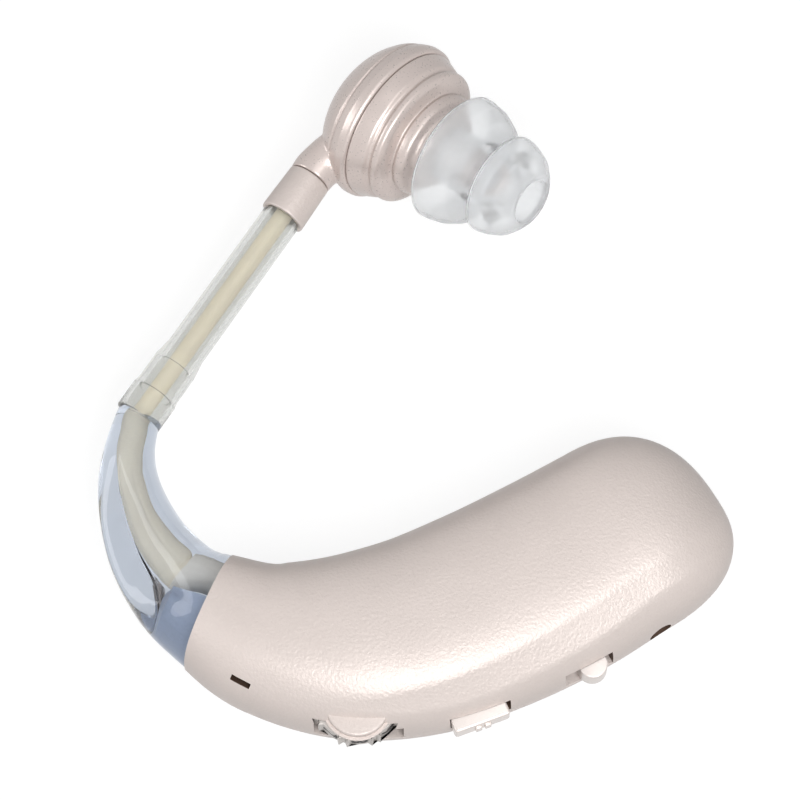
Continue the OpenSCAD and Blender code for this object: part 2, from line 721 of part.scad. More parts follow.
// The hook leaves square to the body's open end
joint_dir = -body_dir(0);
function hook_dir(t) = t <= 0 ? joint_dir : (t >= hook_last ? tube_dir : slope(hook_rows, t));
hook_steps = 14;
hook_sides = 20;
function oval_ring(c, d, w, h, n) = [for (i = [0 : n - 1])
    let (a = 360 * i / n, q = c + side(d) * w * cos(a)) [q[0], q[1], axis_z + h * sin(a)]];
function hook_ring(t, inset) =
    let (r = curve(hook_rows, t))
    oval_ring([r[0], r[1]], hook_dir(t), r[2] - inset, r[3] - inset, hook_sides);
// The channel narrows to the wire's own bore towards the nipple
channel_r = sheath_r + side_gap;
function channel_ring(t, inset) =
    let (r = curve(hook_rows, t), narrow = hook_wall + hook_wall * t / 4)
    oval_ring([r[0], r[1]], hook_dir(t), max(r[2] - narrow, channel_r) - inset,
        max(r[3] - narrow, channel_r) - inset, hook_sides);
module at_tube(s) {
    p = tube_start + tube_dir * s;
    translate([p[0], p[1], axis_z]) rotate([0, 0, tube_turn]) rotate([0, 90, 0]) children();
}
module ear_hook() {
    color("#b9c4d6", 0.6) difference() {
        union() {
            skin([for (i = [hook_steps : -1 : 0]) hook_ring(hook_last * i / hook_steps, 0)]);
            at_tube(-over) cylinder(r = root_r, h = root_l + over, $fn = 32);
            at_tube(-over) cylinder(r = nipple_r, h = nipple_l + over, $fn = 32);
        }
        skin(concat([for (i = [channel_steps : -1 : 0]) channel_ring(channel_step * i, 0)],
            [[for (p = channel_ring(0, 0)) p - over * [joint_dir[0], joint_dir[1], 0]]]));
        at_tube(-2 * over) cylinder(r = channel_r, h = nipple_l + 3 * over, $fn = 32);
    }
}
channel_steps = 10;
channel_step = hook_last * 0.97 / channel_steps;
// The nipple's thick root, in the tube's mouth
root_r = nipple_r + 0.25;
root_l = 2.6;
// The mount: a block in the outer half of the hook's root, with a neck through the body's
// end wall and a foot behind it
mount_l = 3.2;
mount_in = 2.4;
mount_w = hook_w * 0.28;
mount_h = hook_w * 0.44;
boot_side = hook_w * 0.19;
boot_r = 1.1;
module at_joint() {
    translate([joint_x, joint_y, axis_z]) rotate([0, 0, atan2(joint_dir[1], joint_dir[0])]) children();
}
// In this frame X runs into the hook, and -Y to its inner side
module hook_mount() {
    color("#7d8ea6") {
        intersection() {
            skin(reversed([for (k = [0 : 2]) channel_ring(channel_step * k, run_gap)]));
            at_joint() translate([0, 0, -hook_w]) cube([mount_l, hook_w, 2 * hook_w]);
        }
        at_joint() {
            translate([-mount_in, mount_y, -mount_h / 2]) cube([mount_in + run_gap, mount_w, mount_h]);
            translate([-mount_in, mount_y - mount_foot, -mount_h / 2 - mount_foot])
                cube([mount_in - end_wall - side_gap, mount_w + 2 * mount_foot, mount_h + 2 * mount_foot]);
        }
    }
}
mount_y = 0.4;
mount_foot = 0.45;
module mount_hole() {
    at_joint() {
        translate([-mount_in - over, mount_y - run_gap, -mount_h / 2 - run_gap])
            cube([mount_in + 2 * over, mount_w + 2 * run_gap, mount_h + 2 * run_gap]);
        translate([-mount_in - over, -boot_side, 0]) rotate([0, 90, 0])
            cylinder(r = boot_r + run_gap, h = mount_in + 2 * over, $fn = 32);
    }
}
module wire_boot() {
    color("#d9d3c6") at_joint() translate([-mount_in, -boot_side, 0]) rotate([0, 90, 0]) difference() {
        cylinder(r = boot_r, h = mount_in + mount_l, $fn = 32);
        translate([0, 0, -over]) cylinder(r = sheath_r + run_gap, h = mount_in + mount_l + 2 * over, $fn = 32);
    }
}

// The tube swells over the nipple, and its end in the sleeve is pressed thinner
swell_r = nipple_r + run_gap + tube_wall;
root_swell_r = root_r + run_gap + tube_wall * 0.8;
swell_l = 1.6;
sleeve_grip = 3.4;
sleeve_wall = 0.45;
module silicone_tube() {
    long = nipple_l + side_gap;
    color("#cfd8d6", 0.55) difference() {
        union() {
            at_tube(run_gap) cylinder(r = root_swell_r, h = root_l, $fn = 48);
            at_tube(root_l) cylinder(r1 = root_swell_r, r2 = swell_r, h = over, $fn = 48);
            at_tube(root_l) cylinder(r = swell_r, h = long - root_l, $fn = 48);
            at_tube(long) cylinder(r1 = swell_r, r2 = tube_r, h = swell_l, $fn = 48);
            at_tube(long) cylinder(r = tube_r, h = tube_l - sleeve_grip - long, $fn = 48);
            at_tube(long) cylinder(r = sleeve_r - sleeve_wall - run_gap, h = tube_l - long, $fn = 48);
        }
        at_tube(-over) cylinder(r = tube_r - tube_wall, h = tube_l + 2 * over, $fn = 48);
        at_tube(-over) cylinder(r = nipple_r + run_gap, h = nipple_l + run_gap + over, $fn = 32);
        at_tube(-over) cylinder(r = root_r + run_gap, h = root_l + run_gap + over, $fn = 32);
    }
}
// The seam between the sleeve and the head
seam_s = tube_l - sleeve_grip + side_gap + sleeve_l;
module stem_sleeve() {
    start = seam_s - sleeve_l;
    color("#d8c6bd") difference() {
        at_tube(start) cylinder(r1 = sleeve_r, r2 = sleeve_r * 0.95, h = sleeve_l, $fn = 48);
        at_tube(start - over) cylinder(r = sleeve_r - sleeve_wall, h = sleeve_grip + side_gap + over, $fn = 48);
        at_tube(start) cylinder(r = bush_r, h = sleeve_l + over, $fn = 32);
    }
}
// The bush joins the sleeve and the head, and the head turns on it
bush_r = 1.25;
bush_l = 2.2;
bush_bore = 0.6;
bush_root = sleeve_l - sleeve_grip - 2 * side_gap;
module swivel_bush() {
    color("#9fa1a5") at_tube(seam_s - bush_root) difference() {
        cylinder(r = bush_r, h = bush_root + bush_l, $fn = 32);
        translate([0, 0, -over]) cylinder(r = bush_bore, h = bush_root + bush_l + 2 * over, $fn = 24);
    }
}

// The wire sheath runs from inside the body, through the boot and the hook, to the sleeve
sheath_steps = 44;
sheath_sides = 10;
sheath_stations = [1.4, 2, 3, 4, 4.5, 5, 5.5];
function sheath_row(t) = let (r = curve(hook_rows, t)) [r[0], r[1]] - side(hook_dir(t)) * r[4];
boot_line = [joint_x, joint_y] + side(joint_dir) * -boot_side;
sheath_line = concat(
    [boot_line - joint_dir * (mount_in + 3 * over), boot_line, boot_line + joint_dir * (mount_l + side_gap)],
    [for (t = sheath_stations) sheath_row(t)],
    [for (u = [0, 0.1, 0.5, 1]) tube_start + tube_dir * u * (seam_s - sleeve_l + sleeve_grip)]);
module wire_sheath() {
    n = len(sheath_line) - 1;
    color("#e6dcc6") skin([for (i = [sheath_steps : -1 : 0])
        let (t = n * i / sheath_steps, p = curve(sheath_line, t), d = slope(sheath_line, t))
        oval_ring([p[0], p[1]], d, sheath_r, sheath_r, sheath_sides)]);
}

// The receiver head: X along the ear tip, Y along the head's longer side
head_oval = 0.88;
head_sides = 32;
head_place = tube_start + tube_dir * (seam_s + head_along) - side(tube_dir) * head_side;
module at_head() {
    translate([head_place[0], head_place[1], axis_z + head_lift])
        rotate([0, -tip_rise, tip_turn]) children();
}
// Outlines of the back cover and the front housing: depth and radius in shares
back_shares = [[-1, 0.12], [-0.985, 0.26], [-0.93, 0.46], [-0.82, 0.65], [-0.68, 0.80], [-0.5, 0.92],
    [-0.36, 0.975], [-0.30, 1], [-0.17, 1.02], [-0.06, 1.01], [0, 0.99]];
front_shares = [[0, 0.985], [0.30, 0.955], [0.36, 0.92], [0.41, 0.87], [0.48, 0.835], [0.55, 0.81],
    [0.595, 0.76], [0.615, 0.70], [0.65, 0.68], [0.80, 0.66], [0.86, 0.63], [0.90, 0.58], [0.95, 0.54], [1, 0.53]];
function head_ring(x, r) = [for (i = [0 : head_sides - 1]) let (a = 360 * i / head_sides)
    [x, r * cos(a), r * head_oval * sin(a)]];
module head_form(shares, depth, inset) {
    skin([for (s = reversed(shares)) head_ring(s[0] * (depth - inset), s[1] * head_r - inset)]);
}
// The neck: distance along the tube in shares of the head's, shift to the head in shares
// of its offset, and radius in shares of the sleeve's
neck_shares = [[0.03, 0, 0.8], [0.085, 0.004, 0.99], [0.17, 0.03, 1.01], [0.27, 0.1, 1.06], [0.38, 0.19, 1.12],
    [0.5, 0.26, 1.08], [0.6, 0.32, 1]];
neck_sides = 24;
function neck_ring(n) =
    let (r = n[2] * sleeve_r,
        c = tube_start + tube_dir * (seam_s + n[0] * head_along) - side(tube_dir) * n[1] * head_side)
    [for (i = [0 : neck_sides - 1]) let (a = 360 * i / neck_sides, q = c + side(tube_dir) * r * cos(a))
        [q[0], q[1], axis_z + head_lift * n[1] + r * sin(a)]];
module neck_form() {
    at_tube(seam_s + run_gap) cylinder(r = sleeve_r * 0.95, h = head_along * 0.1, $fn = 48);
    skin(reversed([for (n = neck_shares) neck_ring(n)]));
}
module head_back_cover() {
    color("#d9c9c2") difference() {
        union() {
            at_head() head_form(back_shares, head_back, 0);
            neck_form();
        }
        at_head() head_form(cavity_shares, head_back, head_wall);
        at_tube(seam_s) cylinder(r = bush_r + run_gap, h = bush_l + side_gap + run_gap, $fn = 32);
        at_tube(seam_s) cylinder(r = bush_bore, h = head_along, $fn = 24);
    }
}
// The cavity runs past the seam, so that the cut is clean
cavity_shares = [[-0.98, 0.3], [-0.9, 0.52], [-0.75, 0.74], [-0.5, 0.9], [-0.3, 0.96], [0, 0.96], [0.02, 0.96]];
front_cavity_shares = [[-0.02, 0.93], [0.28, 0.93], [0.36, 0.86], [0.5, 0.77], [0.56, 0.66], [0.78, 0.62],
    [0.84, 0.5]];
module head_front_housing() {
    color("#dccdc6") at_head() difference() {
        union() {
            head_form(front_shares, head_front, 0);
            rotate([0, 90, 0]) cylinder(r = nozzle_r + 2 * head_wall, h = head_front + nozzle_step, $fn = 48);
            rotate([0, 90, 0]) cylinder(r = nozzle_r, h = head_front + nozzle_l, $fn = 48);
        }
        head_form(front_cavity_shares, head_front, head_wall);
        rotate([0, 90, 0]) cylinder(r = nozzle_bore_r, h = head_front + nozzle_l + over, $fn = 32);
    }
}
// Step at the nozzle's root, in front of the housing
nozzle_step = 0.5;
gasket_t = 0.35;
module head_gasket() {
    color("#3b3836") at_head() difference() {
        skin([for (x = [gasket_t, -gasket_t]) head_ring(x, cavity_edge - side_gap)]);
        rotate([0, 90, 0]) translate([0, 0, -over]) cylinder(r = speaker_r + run_gap, h = 2 * over, $fn = 48);
    }
}
cavity_edge = head_r * 0.93 - head_wall;
speaker_r = (cavity_edge - side_gap) * head_oval - gasket_w;
module speaker_basket() {
    color("#a9abaf") at_head() rotate([0, 90, 0]) difference() {
        translate([0, 0, -speaker_l]) cylinder(r = speaker_r, h = speaker_l + gasket_t, $fn = 48);
        translate([0, 0, -speaker_l + head_wall / 2])
            cylinder(r = speaker_r - head_wall / 2, h = speaker_l + gasket_t, $fn = 48);
    }
}
module speaker_magnet() {
    color("#6f7278") at_head() rotate([0, 90, 0]) translate([0, 0, -speaker_l + head_wall / 2])
        cylinder(r = speaker_r * 0.6, h = speaker_l * 0.5, $fn = 48);
}
module speaker_diaphragm() {
    color("#c6a56f") at_head() rotate([0, 90, 0]) {
        translate([0, 0, -side_gap]) cylinder(r = speaker_r - head_wall / 2, h = side_gap, $fn = 48);
        translate([0, 0, -speaker_l * 0.36]) difference() {
            cylinder(r = speaker_r * 0.72, h = speaker_l * 0.36 - side_gap, $fn = 48);
            translate([0, 0, -over]) cylinder(r = speaker_r * 0.68, h = speaker_l, $fn = 48);
        }
    }
}
// Two thin leads from the bush to the back of the receiver
lead_r = 0.2;
lead_l = 3;
lead_drop = 0.38;
module receiver_leads() {
    for (s = [-1, 1]) color(s < 0 ? "#b23a32" : "#2d2d2f") at_tube(seam_s + bush_l + 2 * side_gap)
        translate([s * lead_r * 1.6, 0, 0]) {
            cylinder(r = lead_r, h = lead_l, $fn = 16);
            translate([0, 0, lead_l]) sphere(r = lead_r, $fn = 16);
            translate([0, 0, lead_l]) rotate([90, 0, 0]) cylinder(r = lead_r, h = lead_drop, $fn = 16);
        }
}
module nozzle_mesh() {
    color("#8d8f93") at_head() translate([head_front + nozzle_l - 2 * mesh_t, 0, 0])
        rotate([0, 90, 0]) difference() {
        cylinder(r = nozzle_bore_r, h = mesh_t, $fn = 32);
        for (i = [-2 : 2]) for (j = [-2 : 2]) if (norm([i, j]) * mesh_step < nozzle_bore_r - mesh_step / 2)
            translate([i * mesh_step, j * mesh_step, -over])
                cylinder(r = mesh_step * 0.3, h = mesh_t + 2 * over, $fn = 13);
    }
}
mesh_t = 0.2;
mesh_step = 0.42;

// The ear tip's outline: place in shares of its length, radius in shares of its own
tip_rest = head_front + nozzle_step + side_gap;
tip_shares = [
    [0, 0.40], [0.16, 0.42], [0.36, 0.44], [0.30, 0.62], [0.18, 0.78], [0.05, 0.90],
    [0.05, 0.98], [0.10, 1], [0.26, 0.95], [0.40, 0.84], [0.52, 0.66], [0.57, 0.50],
    [0.66, 0.48], [0.72, 0.56], [0.64, 0.70], [0.60, 0.745], [0.64, 0.785], [0.74, 0.75], [0.86, 0.67],
    [0.95, 0.53], [1, 0.42]];
module ear_tip() {
    pts = [for (s = tip_shares) [s[1] * tip_r, s[0] * tip_l]];
    color("#e3ebeb", 0.6) at_head() translate([tip_rest, 0, 0]) rotate([0, 90, 0]) rotate_extrude($fn = 64)
        polygon(concat([[nozzle_r + run_gap, 0]], pts, [[nozzle_r + run_gap, tip_l]]));
}

front_shell();
back_shell();
case_screws();
main_board();
board_screws();
amplifier_chip();
charge_chip();
capacitors();
chip_resistors();
crystal();
battery_cell();
battery_pad();
battery_tabs();
microphone();
microphone_boot();
volume_pot();
wheel_cap();
volume_wheel();
wheel_wiper();
mode_button();
tact_plunger();
tact_switch();
switch_can();
switch_slider();
switch_knob();
charge_socket();
charge_ring();
charge_pin();
hook_mount();
wire_boot();
ear_hook();
silicone_tube();
wire_sheath();
stem_sleeve();
swivel_bush();
head_back_cover();
head_front_housing();
head_gasket();
speaker_basket();
speaker_magnet();
speaker_diaphragm();
receiver_leads();
nozzle_mesh();
ear_tip();
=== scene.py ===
"""Looks of a behind-the-ear sound amplifier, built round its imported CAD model.

Run as a script. Every piece is worked out in metres, in the frame of the CAD model:
+X along the case, +Y towards the receiver head, +Z up through the front shell. Sizes and
colours that a user would change are settings; the tables and numbers of the finer forms
stand over the functions that use them.
"""

import math

import bmesh
import bpy
import numpy as np
from bpy.props import FloatProperty, FloatVectorProperty, IntProperty, PointerProperty
from mathutils import Matrix, Vector


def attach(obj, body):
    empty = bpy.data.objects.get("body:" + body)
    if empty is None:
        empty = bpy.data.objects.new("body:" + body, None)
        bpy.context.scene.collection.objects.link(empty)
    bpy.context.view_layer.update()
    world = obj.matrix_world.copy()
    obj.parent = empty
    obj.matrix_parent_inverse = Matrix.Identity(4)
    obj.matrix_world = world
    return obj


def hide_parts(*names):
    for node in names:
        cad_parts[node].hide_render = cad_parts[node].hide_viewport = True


bl_info = {
    "name": "Sound Amplifier",
    "version": (1, 0, 0),
    "blender": (4, 5, 0),
    "location": "3D View > Sidebar > Amplifier",
    "description": "Builds the shells, controls, hook, tube, receiver head and ear tip "
                   "of a sound amplifier",
    "category": "Object",
}

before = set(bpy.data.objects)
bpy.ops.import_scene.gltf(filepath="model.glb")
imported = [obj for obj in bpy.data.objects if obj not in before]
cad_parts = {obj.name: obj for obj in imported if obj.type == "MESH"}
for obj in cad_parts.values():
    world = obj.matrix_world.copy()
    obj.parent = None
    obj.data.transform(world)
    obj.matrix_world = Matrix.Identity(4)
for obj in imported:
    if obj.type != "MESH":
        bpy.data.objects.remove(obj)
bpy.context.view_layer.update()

MM = 0.001
# The gap beside a moving piece, and how far a cutter runs past the face that it opens
SIDE_GAP = 0.15 * MM
OVER = 0.5 * MM
# Distance under which doubled points are merged, in metres, and the same for the back cover
# and for the figures, which have finer detail
MERGE, COVER_MERGE, FIGURE_MERGE = 1e-7, 1e-8, 1e-9


def mm(*values):
    """Millimetres, or rows of millimetres, as an array in metres."""
    return np.array(values, float) * MM


# ---------------------------------------------------------------- settings

def length(name, text, value):
    """A length in metres, given here in millimetres."""
    return FloatProperty(name=name, description=text, default=value * MM, unit="LENGTH",
                         precision=5)


def degrees(name, text, value):
    """An angle in radians, given here in degrees."""
    return FloatProperty(name=name, description=text, default=math.radians(value),
                         subtype="ANGLE")


def share(name, text, value, low=0):
    """A share of another size, or a level, of at most one."""
    return FloatProperty(name=name, description=text, default=value, min=low, max=1)


def colour(name, text, value):
    """A linear colour."""
    return FloatVectorProperty(name=name, description=text, default=value, size=3,
                               subtype="COLOR", min=0, max=1)


class CaseSettings(bpy.types.PropertyGroup):
    """Sizes and colours of the case."""
    joint_x: length("Joint X", "Place of the hook joint along X", -17.67)
    joint_y: length("Joint Y", "Place of the hook joint along Y", -20.5)
    reach: length("Reach", "Length that the case's stations are shares of", 45)
    width: length("Width", "Greatest width of the case", 18.2)
    front: length("Front height", "Height of the front shell over the seam", 6.6)
    seam: length("Seam height", "Height of the seam over the table", 5.9)
    back: length("Back depth", "Depth of the back shell's curve", 6.4)
    end: length("Round end", "Length of the round end", 9.75)
    lean: length("Lean", "How far the round end leans to the outer side", 1.6)
    bevel: length("Bevel", "Depth of the long bevel", 0.2)
    wall: length("Wall", "Wall of the shells", 0.9)
    groove: length("Seam groove", "Half the groove between the shells", 0.045)
    lacquer: colour("Lacquer", "Colour of the metallic lacquer", (0.76, 0.675, 0.635))
    # The inside colour is bare plastic, made much darker than its own colour to paint the shade
    # in the slots, notches and microphone slot.
    inside: colour("Inside", "Colour of the bare plastic inside the shells",
                   (0.12, 0.075, 0.055))
    pearl: colour("Pearl", "Colour of the button and the knob", (0.76, 0.695, 0.66))


class WheelSettings(bpy.types.PropertyGroup):
    """Sizes and colours of the volume wheel and its hood."""
    radius: length("Radius", "Radius over the teeth", 4.2)
    thick: length("Thickness", "Thickness of the wheel", 2)
    base: length("Base height", "Height of the wheel's lower face", 6.75)
    inset: length("Inset", "Distance of the wheel's axis from the case's edge", 3.1)
    tooth: length("Tooth", "Depth of a tooth", 0.345)
    hood_radius: length("Hood radius", "Radius of the hood", 2.7)
    hood_height: length("Hood height", "Height of the hood", 0.75)
    hood_out: length("Hood reach", "How far the hood stands out", 0.75)
    ledge: length("Ledge", "How far the ledge stands out past the hood", 0.27)
    figure: length("Figure", "Letter size of the figures on the wheel", 2.0125)
    pairs: IntProperty(name="Tooth pairs", description="Pairs of teeth round the wheel",
                       default=9, min=3, max=20)
    body: colour("Body", "Colour of the wheel", (0.60, 0.56, 0.53))
    paint: colour("Figures", "Colour of the figures", (0.05, 0.045, 0.045))


class HookSettings(bpy.types.PropertyGroup):
    """Sizes and colours of the ear hook, the tube, the sleeve and the wire."""
    reach: length("Reach", "Reach of the hook from its joint", 19)
    width: length("Width", "Width of the hook at its joint", 10.5)
    line: length("Line height", "Height of the hook's and the tube's line", 6.5996)
    tube_length: length("Tube length", "Length of the tube", 26)
    tube_radius: length("Tube radius", "Outer radius of the tube", 1.8)
    tube_wall: length("Tube wall", "Wall of the tube", 0.6)
    nipple: length("Nipple", "Radius of the hook's nipple", 1.4)
    nipple_length: length("Nipple length", "Length of the nipple in the tube", 5.7)
    sheath: length("Sheath", "Radius of the wire sheath", 0.8)
    sleeve: length("Sleeve", "Outer radius of the sleeve", 2.08)
    sleeve_length: length("Sleeve length", "Length of the sleeve", 4.4)
    seam: length("Swivel seam", "Distance along the tube's line to the swivel", 27.15)
    bulge: share("Round part", "Half width of the hook's round part over the hook's", 0.66)
    bulge_side: share("Round part's side", "Place of the round part over the half width", 0.34)
    fin: share("Fin", "Half thickness of the fin over the half height", 0.4)
    turn: degrees("Tube turn", "Turn of the tube from +X", 56.8)
    clear: colour("Hook", "Tint of the clear hook", (0.52, 0.565, 0.64))
    milky: colour("Tube", "Tint of the silicone tube", (0.78, 0.785, 0.765))
    # The sheath's cream is lightened past its own colour to paint the light that the clear hook
    # and tube take off it.
    jacket_painted_light: colour("Sheath", "Colour of the wire sheath", (0.97, 0.86, 0.68))


class HeadSettings(bpy.types.PropertyGroup):
    """Sizes and colours of the receiver head and the ear tip."""
    radius: length("Radius", "Longer radius of the head", 7.6)
    back: length("Back depth", "Depth behind the seam", 5.8)
    front: length("Front depth", "Depth in front of the seam", 5.4)
    along: length("Along", "Distance of the head's middle beyond the swivel", 8.8)
    side: length("Side", "Distance of the head's middle from the tube's line", 3.9)
    lift: length("Lift", "Height of the head's middle over the tube's line", 0.32)
    nozzle: length("Nozzle", "Outer radius of the nozzle", 2)
    bore: length("Bore", "Inner radius of the nozzle", 1.3)
    nozzle_length: length("Nozzle length", "Length of the nozzle", 5.6)
    tip_radius: length("Tip radius", "Radius of the large flange", 6)
    tip_length: length("Tip length", "Length of the ear tip", 9.5)
    tip_rest: length("Tip place", "Distance of the ear tip from the seam", 6.05)
    turn: degrees("Turn", "Turn of the ear tip's line", -38.9)
    rise: degrees("Rise", "Rise of the ear tip's line", 16.3)
    oval: share("Oval", "Height of the head over its length", 0.88, low=0.5)
    lacquer: colour("Lacquer", "Colour of the head's lacquer", (0.67, 0.585, 0.55))
    silicone: colour("Silicone", "Tint of the ear tip", (0.90, 0.91, 0.92))
    rim: colour("Rims", "Tint of the ear tip's thin rims", (0.96, 0.96, 0.96))


class StageSettings(bpy.types.PropertyGroup):
    """Camera and floor."""
    distance: length("Distance", "Camera distance", 350)
    elevation: degrees("Elevation", "Camera elevation", 70)
    lens: FloatProperty(name="Lens", description="Focal length in millimetres", default=178.97)
    target: FloatVectorProperty(name="Target", description="Point that the camera looks at",
                                default=(-0.00132, -0.0008, 0.006), size=3, unit="LENGTH")
    floor: colour("Floor", "Colour of the floor", (0.22, 0.22, 0.22))
    glow: share("Floor glow", "Plain light of the floor as the camera sees it", 0.86)


# ---------------------------------------------------------------- curves and places

# Stations of the case from the hook joint to the round end: place along X and Y in shares of
# the reach, half width in shares of half the width, front and back depth in shares of theirs
CASE_SHARES = np.array([
    [0, 0, 0.58, 0.89, 0.70],
    [0.112, -0.050, 0.73, 0.955, 0.84],
    [0.252, -0.066, 0.875, 1, 0.97],
    [0.394, -0.045, 0.955, 1, 1],
    [0.532, 0.008, 0.985, 1, 1],
    [0.661, 0.073, 0.99, 1, 1],
    [0.776, 0.142, 0.967, 1, 1]])
# Stations of the hook: place in shares of its reach, half width and half height in shares of
# half its width, and how far the wire lies to the inner side in shares of the half width
HOOK_SHARES = np.array([
    [0, 0, 1, 0.985, 0.35],
    [-0.142, 0.113, 0.86, 0.87, 0.3],
    [-0.263, 0.271, 0.74, 0.74, 0.22],
    [-0.339, 0.439, 0.625, 0.64, 0.1],
    [-0.382, 0.608, 0.52, 0.53, 0.04],
    [-0.384, 0.768, 0.43, 0.43, 0],
    [-0.350, 0.937, 0.37, 0.37, 0]])
# Stations of the controls along the case's outer edge
WHEEL_AT, BUTTON_AT, KNOB_AT, PORT_AT, MIC_AT = 2.16, 3.37, 4.81, 5.86, 0.9
# How far before and behind a station the two points lie that give a line's direction there
CLOSE = 1e-3


def unit(vectors):
    """Each row divided by its length."""
    return vectors / np.linalg.norm(vectors, axis=-1, keepdims=True)


def ring_angles(n):
    """Angles of n points round a full turn."""
    return np.linspace(0, 2 * math.pi, n, endpoint=False)


def curve(rows, t):
    """Smooth curve through the rows of a table at stations t: on each span, a cubic that runs
    through both rows with the slope of the rows on either side."""
    rows = np.asarray(rows, float).reshape(len(rows), -1)
    t = np.atleast_1d(np.asarray(t, float))
    ends = np.vstack([2 * rows[0] - rows[1], rows, 2 * rows[-1] - rows[-2]])
    i = np.clip(np.floor(t).astype(int), 0, len(rows) - 2)
    u = (t - i)[:, None]
    a, b, c, d = ends[i], ends[i + 1], ends[i + 2], ends[i + 3]
    square = (2 * a - 5 * b + 4 * c - d) * u**2
    cube = (3 * b - a - 3 * c + d) * u**3
    return 0.5 * (2 * b + (c - a) * u + square + cube)


def whole_curve(rows, n):
    """n points of the curve, from the table's first row to its last."""
    return curve(rows, np.linspace(0, len(rows) - 1, n))


def heading(rows, t):
    """Unit direction in the plane of the curve at stations t, from two close points."""
    t = np.atleast_1d(np.asarray(t, float))
    ahead = curve(rows, np.minimum(t + CLOSE, len(rows) - 1))[:, :2]
    behind = curve(rows, np.maximum(t - CLOSE, 0))[:, :2]
    return unit(ahead - behind)


def side(d):
    """The direction turned a quarter to the left."""
    return np.stack([-d[..., 1], d[..., 0]], -1)


def turned(x=0.0, y=0.0, z=0.0):
    """Rotation matrix of turns about X, then Y, then Z, in radians."""
    about_x, about_y, about_z = (Matrix.Rotation(angle, 3, axis)
                                 for angle, axis in ((x, "X"), (y, "Y"), (z, "Z")))
    return np.array(about_z @ about_y @ about_x)


def placed(points, rotation, origin):
    """Points turned by the rotation and moved to the origin given."""
    return np.asarray(points, float) @ np.asarray(rotation, float).T + np.asarray(origin, float)


def at(part, rotation, origin):
    """A (points, faces) part in a place."""
    return placed(part[0], rotation, origin), part[1]


def case_rows(c):
    """Rows of the case in metres: X, Y, half width, front depth, back depth."""
    scale = np.array([c.reach, c.reach, c.width / 2, c.front, c.back])
    return CASE_SHARES * scale + np.array([c.joint_x, c.joint_y, 0, 0, 0])


def edge_place(c, t):
    """Turn and origin of a control's own place on the case's outer edge: X along the edge,
    -Y out of the case, Z up from the table."""
    rows = case_rows(c)
    row, d = curve(rows, t)[0], heading(rows, t)[0]
    origin = np.append(row[:2] - side(d) * row[2], 0.0)
    return turned(z=math.atan2(d[1], d[0])), origin


def hook_rows(h, c):
    """Rows of the hook in metres: X, Y, half width, half height, offset of the wire."""
    half = h.width / 2
    rows = HOOK_SHARES * np.array([h.reach, h.reach, half, half, 1])
    rows[:, 4] *= rows[:, 2]
    return rows + np.array([c.joint_x, c.joint_y, 0, 0, 0])


def tube_place(h, c):
    """Turn and origin of the tube's own place, at the hook's end: Z along the tube, X down."""
    end = hook_rows(h, c)[-1, :2]
    return turned(y=math.pi / 2, z=h.turn), np.append(end, h.line)


def tube_heading(h):
    """Unit direction of the tube in the plane."""
    return np.array([math.cos(h.turn), math.sin(h.turn)])


def head_place(d, h, c):
    """Turn and origin of the head's own place: X along the ear tip, Y along its longer side."""
    origin = tube_place(h, c)[1]
    t = tube_heading(h)
    middle = origin[:2] + t * (h.seam + d.along) - side(t) * d.side
    return turned(y=-d.rise, z=d.turn), np.append(middle, h.line + d.lift)


# ---------------------------------------------------------------- surfaces

def grid_faces(m, n, closed_rows):
    """Quads between neighbouring points of a grid of m rings with n points each. With closed
    rows, the last ring is joined to the first."""
    i = np.arange(m if closed_rows else m - 1)[:, None]
    j = np.arange(n)[None, :]
    k = (i + 1) % m
    w = (j + 1) % n
    return np.stack([i * n + j, i * n + w, k * n + w, k * n + j], -1).reshape(-1, 4)


def loft(rings, closed_rows=False):
    """A solid through rings of as many points each, as (points, faces): quads between them and
    a face on each end, or quads alone where the rows are closed."""
    rings = np.asarray(rings, float)
    m, n = rings.shape[:2]
    faces = grid_faces(m, n, closed_rows).tolist()
    if not closed_rows:
        faces += [list(range(n))[::-1], list(range((m - 1) * n, m * n))]
    return rings.reshape(-1, 3), faces


def revolve(profile, n, oval=1.0, closed=True):
    """A profile of (place on the axis, radius) carried round the X axis. The height is the
    radius times the oval share. An open profile gets a face on each end."""
    p = np.asarray(profile, float)
    a = ring_angles(n)[None, :]
    x = np.broadcast_to(p[:, :1], (len(p), n))
    rings = np.stack([x, p[:, 1:] * np.cos(a), p[:, 1:] * np.sin(a) * oval], -1)
    return loft(rings, closed_rows=closed)


def soften(points, radius, steps=5, closed=True):
    """A polygon with each corner replaced by a short parabola that touches both sides. It
    starts at the radius from the corner, or a little before the side's middle."""
    p = np.asarray(points, float)
    r = np.broadcast_to(np.asarray(radius, float), len(p))
    before, after = np.roll(p, 1, 0) - p, np.roll(p, -1, 0) - p
    most = 0.45
    lb, la = np.linalg.norm(before, axis=1), np.linalg.norm(after, axis=1)
    a = p + before / lb[:, None] * np.minimum(r, most * lb)[:, None]
    b = p + after / la[:, None] * np.minimum(r, most * la)[:, None]
    u = np.linspace(0, 1, steps)[None, :, None]
    out = (1 - u)**2 * a[:, None] + 2 * u * (1 - u) * p[:, None] + u**2 * b[:, None]
    if not closed:
        out[0], out[-1] = p[0], p[-1]
    return out.reshape(-1, p.shape[1])


def inset_outline(outline, depth):
    """A closed outline in the plane moved inwards along the mean of its sides' normals."""
    p = np.asarray(outline, float)
    n = side(unit(np.roll(p, -1, 0) - np.roll(p, 1, 0)))
    area = np.sum(p[:, 0] * np.roll(p[:, 1], -1) - np.roll(p[:, 0], -1) * p[:, 1])
    return p + n * depth * np.sign(area)


def slab(outline, low, high, rounding, steps=5):
    """An outline raised from low to high, with both rims rounded by a quarter circle."""
    a = np.linspace(0, math.pi / 2, steps)
    depth = rounding * (1 - np.sin(a))
    up = rounding * (1 - np.cos(a))
    depths = np.concatenate([depth, depth[::-1]])
    heights = np.concatenate([low + up, high - up[::-1]])
    return loft([np.column_stack([inset_outline(outline, d), np.full(len(outline), z)])
                 for d, z in zip(depths, heights)])


